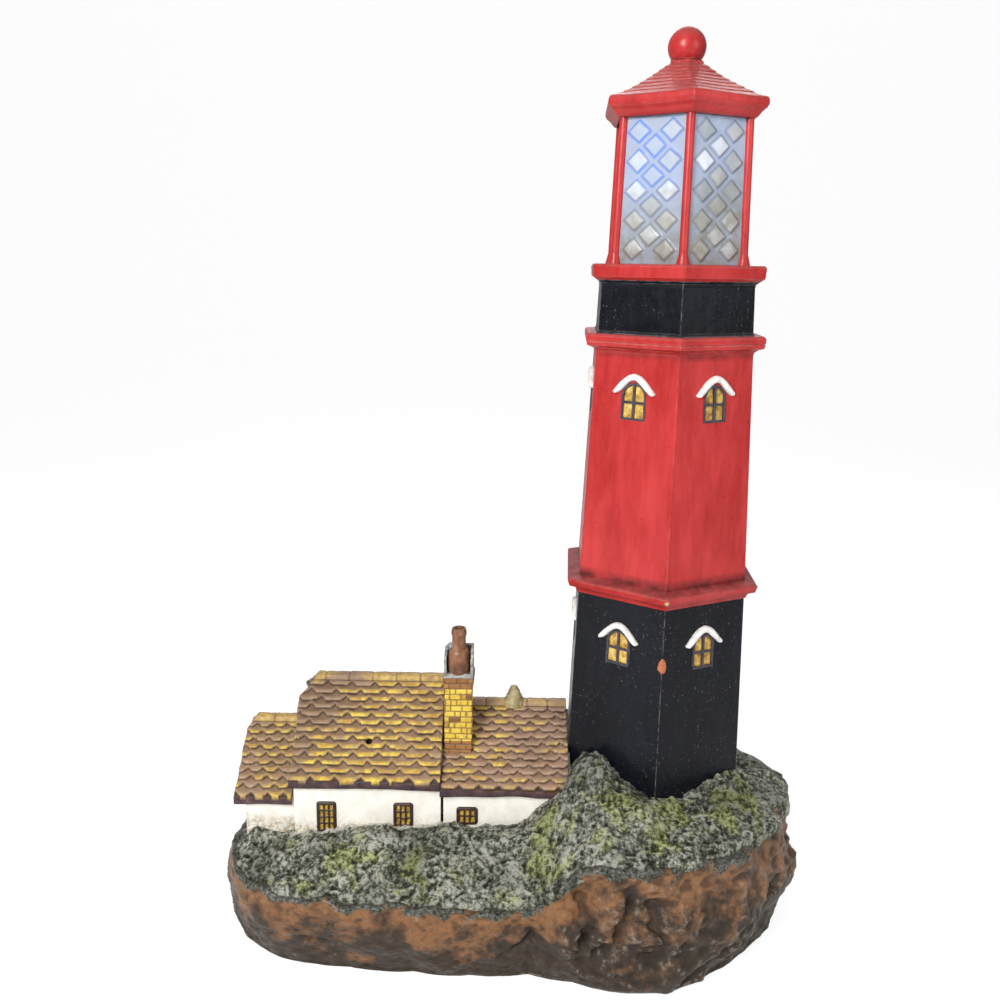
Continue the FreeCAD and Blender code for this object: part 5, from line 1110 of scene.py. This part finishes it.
points, faces, values = windowPiece()
makePiece("cottageWindows", points, faces, "ornament", "dark_frame", windowMaterial(dict(
    dark=(0.014, 0.006, 0.006), brown=(0.060, 0.022, 0.016), amber=(0.25, 0.13, 0.020),
    gold=(0.62, 0.44, 0.085), roughness=0.36)), ["cottage_window_frames"], values)

cap = dict(left=-31.3, right=-18.7, front=-14.4, back=-1.8, foot=115.2, slab=117.5, top=127.0,
           lowHorn=1.6, side=1.1, pocket=-4.6, spacing=0.6, rows=16)


def outlineRing(corners, spacing):
    # A closed outline with points at about that spacing.
    corners = np.array(list(corners) + [corners[0]], float)
    spots = []
    for start, end in zip(corners, corners[1:]):
        count = max(1, int(np.linalg.norm(end - start) / spacing))
        spots.append(start + (end - start) * np.linspace(0, 1, count, endpoint=False)[:, None])
    return np.concatenate(spots)


def capPiece():
    # A rough slab, and on it three walls round the pot that are open to the front.
    left, right, front, back = cap["left"], cap["right"], cap["front"], cap["back"]
    slab = [(left, front), (right, front), (right, back), (left, back)]
    walls = [(left, front), (left + cap["side"], front), (left + cap["side"], cap["pocket"]),
             (right - cap["side"], cap["pocket"]), (right - cap["side"], front), (right, front),
             (right, back), (left, back)]
    parts = []
    for corners, foot, top in ((slab, cap["foot"], cap["slab"]),
                               (walls, cap["slab"] - 0.3, cap["top"])):
        ring = outlineRing(corners, cap["spacing"])
        up = np.linspace(0, 1, cap["rows"])[:, None]
        onHorn = (ring[:, 0] < left + cap["side"] + 0.1) & (top == cap["top"])
        head = top - cap["lowHorn"] * onHorn
        z = foot + (head - foot) * up
        points = np.stack([*np.broadcast_arrays(ring[:, 0], ring[:, 1], z)], -1).copy()
        rough = latticeNoise(points, 3.0, 3) * 0.3 + latticeNoise(points, 1.2, 7) * 0.16
        middle = np.array([(left + right) / 2, (front + back) / 2])
        away = points[..., :2] - middle
        away = away / np.linalg.norm(away, axis=-1, keepdims=True)
        points[..., :2] += away * rough[..., None]
        points[..., 2] += rough * 0.8 * up
        parts.append((points, tubeFaces(cap["rows"], len(ring))))
    return joinGrids(parts)


makePiece("chimneyCap", *capPiece(), "ornament", "grey_cap", capGrey, ["chimney_cap"],
          smooth=False)

# ---- turned pieces


def turnedPiece(name, profile, centre, columns, body, slot, material, replaced, rough=0.0):
    # A profile of (radius, height) turned about an upright axis, slightly uneven if rough.
    profile = np.array(profile, float)
    dense = np.linspace(0, len(profile) - 1, (len(profile) - 1) * 5 + 1)
    radius = np.interp(dense, np.arange(len(profile)), profile[:, 0])
    level = np.interp(dense, np.arange(len(profile)), profile[:, 1])
    turn = np.linspace(0, 2 * np.pi, columns, endpoint=False)
    x = radius[:, None] * np.cos(turn)
    y = radius[:, None] * np.sin(turn)
    points = np.stack([x, y, np.broadcast_to(level[:, None], x.shape)], -1)
    uneven = 1 + rough * latticeNoise(points, 4.0, 91)[..., None] * (1, 1, 0)
    points = points * uneven + (centre[0], centre[1], 0)
    makePiece(name, points, tubeFaces(len(points), columns), body, slot, material, replaced)


ball = dict(radius=7.5, centre=373.5, foot=368.4)
lowest = -math.asin((ball["centre"] - ball["foot"]) / ball["radius"])
latitudes = np.linspace(lowest, math.pi / 2 - 0.01, 22)
ballProfile = [(ball["radius"] * math.cos(lowest) + 0.7, ball["foot"])]
ballProfile += [(ball["radius"] * math.cos(a), ball["centre"] + ball["radius"] * math.sin(a))
                for a in latitudes]
turnedPiece("ballFinial", ballProfile, (62.0, 9.0), 56, "lantern_cap", "red_paint", redPaint,
            ["ball_finial"], 0.012)
finial = [(5.0, 93.4), (5.0, 95.4), (4.6, 96.2), (3.7, 96.8), (3.7, 98.0), (3.0, 98.8),
          (2.6, 100.4), (2.0, 101.2), (1.6, 102.2), (0.9, 102.6), (0.1, 102.7)]
turnedPiece("ridgeFinial", finial, (-0.5, 8.0), 40, "ornament", "pot", finialTan,
            ["ridge_finial"], 0.06)
pot = [(4.0, 117.2), (4.5, 118.8), (4.75, 121.0), (4.75, 124.4), (4.3, 126.8), (3.7, 127.8),
       (3.1, 128.2), (3.0, 130.0), (2.95, 133.0), (3.05, 134.2), (3.35, 134.6), (3.3, 136.0),
       (3.0, 137.4), (2.5, 137.6), (1.9, 137.3), (1.7, 134.8), (0.1, 134.6)]
turnedPiece("chimneyPot", pot, (-25.0, -10.9), 48, "ornament", "pot", potBrown,
            ["chimney_pot"], 0.02)

# ---- the lantern's roof

tower = dict(x=62.0, y=9.0, turn=-3.8)
cornice = [(0.1, 346.8), (29.0, 346.8), (29.6, 345.4), (30.4, 345.5), (31.4, 346.4), (32.6, 347.8),
           (33.8, 348.7), (34.3, 349.0), (34.5, 349.5), (34.9, 349.8), (35.1, 350.6),
           (35.0, 352.0), (34.4, 352.9), (33.7, 353.2)]
boarding = dict(foot=33.2, head=7.2, low=353.4, high=367.2, boards=8, step=0.62, bow=0.78,
                perSide=26, perBoard=7)


def hexagon(perSide):
    # The side, the share along it and the two coordinates of points round a hexagon of radius 1.
    side = np.arange(6 * perSide) // perSide
    part = (np.arange(6 * perSide) % perSide) / perSide
    begin = np.radians(tower["turn"] - 90 + 60 * side)
    finish = begin + np.radians(60)
    x = np.cos(begin) * (1 - part) + np.cos(finish) * part
    y = np.sin(begin) * (1 - part) + np.sin(finish) * part
    return side, part, x, y


def lanternRoofPiece():
    # Six-sided rings: the cornice, then boards that lap by a small step up a hollow slope, then
    # the collar.
    share = np.linspace(0, 1, boarding["boards"] * boarding["perBoard"] + 1)
    inBoard = (share * boarding["boards"]) % 1
    slope = boarding["foot"] + (boarding["head"] - boarding["foot"]) * share ** boarding["bow"]
    slope = slope + boarding["step"] * (0.5 - inBoard) * np.sin(np.pi * np.clip(
        share * 12, 0, 0.5))
    level = boarding["low"] + (boarding["high"] - boarding["low"]) * share
    profile = np.array(cornice + list(zip(slope, level)) + [(6.9, 367.9), (6.4, 368.4),
                                                            (0.1, 368.4)])
    x, y = hexagon(boarding["perSide"])[2:]
    radius = profile[:, :1]
    points = np.stack(np.broadcast_arrays(radius * x, radius * y, profile[:, 1:]), -1).copy()
    rough = latticeNoise(points, 11.0, 3) * 0.3
    inside = np.arange(len(profile)) < 3
    points[..., 2] += np.where(inside[:, None], 0, rough) * (profile[:, 1:] < 366)
    points += (tower["x"], tower["y"], 0)
    return points, tubeFaces(len(profile), len(x))


makePiece("lanternRoof", *lanternRoofPiece(), "lantern_cap", "red_paint", redPaint,
          ["lantern_roof"], smooth=False)

# ---- hoods over the tower's windows

# the levels of the windows' feet, and each drum's radius and height at its foot and head
hood = dict(span=18.6, tip=11.0, rise=6.2, thickness=2.7, relief=1.9, along=44, around=14,
            drums=dict(lower=(126.2, 43.3, 40.3, 59.0, 154.2),
                       upper=(229.7, 40.1, 36.2, 162.1, 255.3)), seeds=dict(lower=0, upper=20))


def faceFrames(level, footRadius, headRadius, footLevel, headLevel):
    # For each face of the tower: a point at that level, and unit vectors across, up and out.
    apothem = math.cos(math.radians(30))
    share = (level - footLevel) / (headLevel - footLevel)
    radius = (footRadius + (headRadius - footRadius) * share) * apothem
    lean = math.atan2((footRadius - headRadius) * apothem, headLevel - footLevel)
    frames = []
    for side in range(6):
        heading = math.radians(tower["turn"] - 60 + 60 * side)
        outward = np.array([math.cos(heading), math.sin(heading), 0])
        across = np.array([-outward[1], outward[0], 0])
        normal = outward * math.cos(lean) + np.array([0, 0, math.sin(lean)])
        spotOn = np.array([tower["x"], tower["y"], level]) + outward * radius
        frames.append((spotOn, across, np.cross(normal, across), normal))
    return frames


def hoodPoints(seed):
    # An oval section carried along a round arch that levels out at its thinner tips.
    share = np.linspace(-1, 1, hood["along"])[:, None]
    turn = np.linspace(0, 2 * np.pi, hood["around"], endpoint=False)
    across = share * hood["span"] / 2
    arch = np.cos(np.pi / 2 * np.clip(share / 0.9, -1, 1)) ** 1.3
    middle = hood["tip"] + hood["rise"] * arch
    slope = np.gradient(middle[:, 0], across[:, 0])[:, None]
    length = np.sqrt(1 + slope ** 2)
    half = hood["thickness"] / 2 * (1 - 0.5 * np.abs(share) ** 5)
    half = half * np.sqrt(np.clip(1.02 - np.abs(share) ** 16, 0, 1))
    bent = np.sign(np.cos(turn)) * np.abs(np.cos(turn)) ** 0.8
    here = np.stack([across, middle, across * 0 + seed], -1)
    half = half * (1 + 0.12 * latticeNoise(here, 3.0, seed))
    x = across - slope / length * half * bent
    y = middle + half / length * bent
    z = (0.25 + 0.75 * np.sin(turn)) * hood["relief"] * np.clip(half * 1.2, 0.15, 1.05)
    return np.stack(np.broadcast_arrays(x, y, z), -1)


def hoodPieces():
    # The six hoods of each drum, laid on its leaning faces.
    for name, sizes in hood["drums"].items():
        parts = []
        for side, (origin, across, upward, out) in enumerate(faceFrames(*sizes)):
            local = hoodPoints(side + hood["seeds"][name])
            rings = origin + local[..., :1] * across + local[..., 1:2] * upward + (
                local[..., 2:] * out)
            parts.append((rings, turnedOver(tubeFaces(hood["along"], hood["around"]))))
        makePiece(name + "WindowHoods", *joinGrids(parts), "ornament", "white_trim", hoodWhite,
                  [name + "_window_hoods"])


hoodPieces()

# ---- lens

lens = dict(foot=29.3, head=27.7, level=290.5, top=345.6, wall=2.3, perPane=46, rows=170,
            columnStep=6.7, rowStep=5.5, halfWide=5.1, halfTall=4.6, proud=0.9)


def lensPiece():
    # A ring of six leaning panes.  Pillowed squares stand on their corners at the knots of a
    # diamond lattice, and the rest of each pane is nearly flat.
    rows = lens["rows"]
    pane, part, x, y = hexagon(lens["perPane"])
    columns = len(x)
    up = np.linspace(0, 1, rows)[:, None]
    radius = lens["foot"] + (lens["head"] - lens["foot"]) * up
    height = lens["top"] - lens["level"]
    x, y = radius * x, radius * y
    z = np.broadcast_to(lens["level"] + height * up, x.shape)
    across = (part - 0.5) * radius
    rise = up * height
    rowCount = int((height - 2 * lens["halfTall"]) / lens["rowStep"]) + 1
    first = (height - (rowCount - 1) * lens["rowStep"]) / 2
    seedZ = np.broadcast_to(pane * 25.0, x.shape)
    flat = np.stack([np.broadcast_to(across, x.shape), np.broadcast_to(rise, x.shape), seedZ], -1)
    jitterX = latticeNoise(flat, 6.0, 3) * 0.3
    jitterY = latticeNoise(flat, 6.0, 5) * 0.3
    u = (across + jitterX) / lens["columnStep"]
    v = (rise + jitterY - first) / lens["rowStep"]
    knotA = np.round((u + v + 1) / 2)
    knotB = np.round((v - u + 1) / 2)
    centreU = knotA - knotB
    centreV = knotA + knotB - 1
    offX = (u - centreU) * lens["columnStep"]
    offY = (v - centreV) * lens["rowStep"]
    middle = (np.abs(centreU) < 1.5) & (centreV > -0.5) & (centreV < rowCount - 0.5)
    fromMiddle = np.abs(offX) / lens["halfWide"] + np.abs(offY) / lens["halfTall"]
    face = np.where(middle, 1 - smoothStep(0.80, 1.0, fromMiddle), 0.0)
    crown = np.where(middle, np.clip(1 - fromMiddle, 0, 1), 0.0)
    rim = np.where(middle, np.exp(-((fromMiddle - 0.93) / 0.11) ** 2), 0.0)
    push = lens["proud"] * (0.82 * face + 0.18 * crown) + latticeNoise(flat, 3.0, 9) * 0.08
    heading = np.radians(tower["turn"] - 60 + 60 * pane)
    outX, outY = np.cos(heading), np.sin(heading)
    outer = np.stack([x + outX * push, y + outY * push, z], -1)
    inward = 1 - lens["wall"] / radius
    inner = np.stack([x * inward, y * inward, z], -1)
    points = np.concatenate([outer, inner[::-1][[0, rows // 2, rows - 1]]])
    points[..., 0] += tower["x"]
    points[..., 1] += tower["y"]
    tone = cellRandom(centreU + 10 + pane * 7, centreV, 23)
    blank = np.zeros((3, columns))

    def pad(values):
        # A mark over the outer side, with zeros on the inner one.
        return np.concatenate([np.broadcast_to(values, x.shape), blank])
    faces = gridFaces(len(points), columns, wrapRows=True, wrapColumns=True)
    values = dict(square=pad(face), rim=pad(rim), tone=pad(tone), high=pad(up + x * 0))
    return points, faces, values


def lensMaterial(settings):
    # Milky resin: pale squares, bright blue round their rims in the upper left, greyer and
    # dusty ochre low down, with a soft bluish ground between.
    material, tree, shader = newMaterial("lensResin", settings)
    high, tone = attribute(tree, "high"), attribute(tree, "tone")
    square, rim = attribute(tree, "square"), attribute(tree, "rim")
    groundShade = blend(noise(tree, 8, 4), settings["ground"], settings["groundGrey"])
    squareTone = ramp(plus(times(tone, 0.7), times(noise(tree, 3, 4), 0.4)),
                      (0.3, settings["milk"]), (0.55, settings["beige"]), (0.8, settings["grey"]))
    shade = blend(times(square, 0.9), groundShade, squareTone)
    left = zone(axisOf(tree, "X"), settings["blueZone"])
    blueness = times(ramp(high, (0.25, 0.0), (0.6, 1.0)), plus(times(left, 0.75), 0.25))
    patch = ramp(plus(times(noise(tree, 9, 3), 0.8), times(tone, 0.3)), (0.36, 0.25), (0.56, 1.0))
    blueness = times(blueness, patch)
    shade = blend(times(blueness, times(square, 0.35)), shade, settings["sky"])
    shade = blend(times(times(rim, blueness), 0.95, True), shade, settings["blue"])
    shade = blend(times(rim, times(minus(1.0, blueness), 0.75)), shade, settings["shadow"])
    right = zone(axisOf(tree, "X"), settings["dustyZone"])
    reach = minus(high, times(right, 0.22))
    low = times(ramp(reach, (0.10, 1.0), (0.55, 0.0)),
                ramp(noise(tree, 5, 5, 0.7), (0.3, 0.25), (0.6, 1.0)))
    shade = blend(times(low, 0.75), shade, settings["olive"])
    plug(shade, shader.inputs["Base Color"])
    shader.inputs["Subsurface Weight"].default_value = 0.12
    shader.inputs["Subsurface Radius"].default_value = (0.9, 1.0, 1.2)
    shader.inputs["Subsurface Scale"].default_value = 1.2 * mm
    relief(shader, plus(noise(tree, 2.5, 3), times(noise(tree, 0.6, 3), 0.25)), 0.25, 0.5)
    return material


points, faces, values = lensPiece()
makePiece("lanternLens", points, faces, "ornament", "lens", lensMaterial(dict(
    milk=(0.70, 0.74, 0.80), beige=(0.47, 0.47, 0.43), grey=(0.31, 0.33, 0.33),
    ground=(0.33, 0.42, 0.62), groundGrey=(0.36, 0.39, 0.44), sky=(0.50, 0.66, 0.95),
    blue=(0.09, 0.22, 0.78), shadow=(0.13, 0.15, 0.18), olive=(0.20, 0.185, 0.125),
    blueZone=(64.0, 50.0), dustyZone=(62.0, 74.0), roughness=0.34, coat=0.15,
    coatRoughness=0.2, specular=0.35)), ["lantern_lens"], values)

# ---- finishes of the pieces that keep their solids

finishes = {
    redPaint: ["middle_ledge", "upper_tower_drum", "gallery_ledge", "lantern_sill",
               "lantern_posts"],
    blackPaint: ["lower_tower_drum", "watch_room"],
    windowFrame: ["lower_window_frames", "upper_window_frames"],
    goldPane: ["lower_window_panes", "upper_window_panes", "cottage_window_panes"],
    blackPlastic: ["base_plate", "battery_tray", "battery_door", "switch_body", "switch_slider",
                   "lamp_socket"],
    footRubber: ["rubber_feet"],
    leadSheath: ["lamp_lead", "switch_lead"],
    cellWrap: ["battery_cells"],
    frostedLamp: ["led_lamp"],
    screwMetal: ["plate_screws"],
    contactMetal: ["battery_contacts", "battery_springs"],
}
for material, names in finishes.items():
    for name in names:
        node = nodes[name]
        node.data.materials.clear()
        node.data.materials.append(material)
        node.data.polygons.foreach_set("material_index",
                                       np.zeros(len(node.data.polygons), np.int32))
print("finishes given")

# ---- floor, light and camera

stage = dict(width=4.0, front=-2.0, bendStart=1.0, bend=1.0, top=4.0, white=(0.93, 0.93, 0.93),
             showThrough=0.72, glow=1.2, roomLight=0.30, seenLight=0.70)


def straightRays(tree):
    # 1 for rays that come from the camera, also through clear resin.
    rays = addNode(tree, "LightPath")
    return calc("MAXIMUM", rays.outputs["Is Camera Ray"], rays.outputs["Is Transmission Ray"])


def floorMaterial():
    # White to the camera, with part of the true shading kept for the shadow.
    material = bpy.data.materials.new("paleFloor")
    material.use_nodes = True
    tree = material.node_tree
    shader = tree.nodes["Principled BSDF"]
    shader.inputs["Base Color"].default_value = (*stage["white"], 1)
    shader.inputs["Roughness"].default_value = 0.9
    seen = straightRays(tree)
    glow = addNode(tree, "Emission", {"Color": (1, 1, 1, 1), "Strength": stage["glow"]})
    blend = addNode(tree, "MixShader", {0: times(seen, stage["showThrough"]), 1: shader.outputs[0],
                                        2: glow.outputs[0]})
    tree.links.new(blend.outputs[0], tree.nodes["Material Output"].inputs[0])
    return material


bend = np.linspace(0, np.pi / 2, 24)
sweepY = np.concatenate([[stage["front"]], stage["bendStart"] + stage["bend"] * np.sin(bend),
                         [stage["bendStart"] + stage["bend"]]])
sweepZ = np.concatenate([[0], stage["bend"] * (1 - np.cos(bend)), [stage["top"]]])
sweepX = np.array([-stage["width"], stage["width"]])[:, None]
sweep = np.stack(np.broadcast_arrays(sweepX, sweepY, sweepZ), -1)
floorMesh = bpy.data.meshes.new("floor")
floorMesh.from_pydata(sweep.reshape(-1, 3).tolist(), [], [
    face[::-1] for face in gridFaces(2, len(sweepY))])
floorMesh.polygons.foreach_set("use_smooth", np.full(len(floorMesh.polygons), True))
floorMesh.materials.append(floorMaterial())
floor = bpy.data.objects.new("floor", floorMesh)
bpy.context.scene.collection.objects.link(floor)

world = bpy.data.worlds.new("paleRoom")
bpy.context.scene.world = world
world.use_nodes = True
tree = world.node_tree
seen = straightRays(tree)
sky = tree.nodes["Background"]
sky.inputs["Color"].default_value = (1, 1, 1, 1)
plug(plus(times(seen, stage["seenLight"]), stage["roomLight"]), sky.inputs["Strength"])

lamps = [
    # name, place, aim, size, watts
    ("keyLight", (-0.42, -0.75, 0.62), (0.0, 0.0, 0.17), 0.35, 9.2),
    ("fillLight", (0.65, -0.60, 0.45), (0.0, 0.0, 0.17), 0.55, 2.0),
    ("backLight", (0.15, 0.80, 0.80), (0.0, 0.0, 0.20), 0.60, 3.0),
]
for name, spotAt, aim, size, watts in lamps:
    light = bpy.data.lights.new(name, "AREA")
    light.shape = "DISK"
    light.size = size
    light.energy = watts
    lampObject = bpy.data.objects.new(name, light)
    lampObject.location = spotAt
    lampObject.rotation_euler = (Vector(aim) - Vector(spotAt)).to_track_quat("-Z", "Y").to_euler()
    bpy.context.scene.collection.objects.link(lampObject)

view = dict(spot=(-0.00839, -0.40276, 0.28914), pitch=13.61, roll=0.98, pixels=969.4, frame=1000)
camera = bpy.data.cameras.new("camera")
camera.sensor_width = 36.0
camera.lens = view["pixels"] / view["frame"] * camera.sensor_width
camera.clip_start = 0.01
cameraObject = bpy.data.objects.new("camera", camera)
turned = Matrix.Rotation(math.radians(90 - view["pitch"]), 4, "X") @ Matrix.Rotation(
    math.radians(view["roll"]), 4, "Z")
cameraObject.matrix_world = Matrix.Translation(view["spot"]) @ turned
bpy.context.scene.collection.objects.link(cameraObject)
bpy.context.scene.camera = cameraObject
bpy.context.scene.view_settings.view_transform = "Standard"
print("stage set")
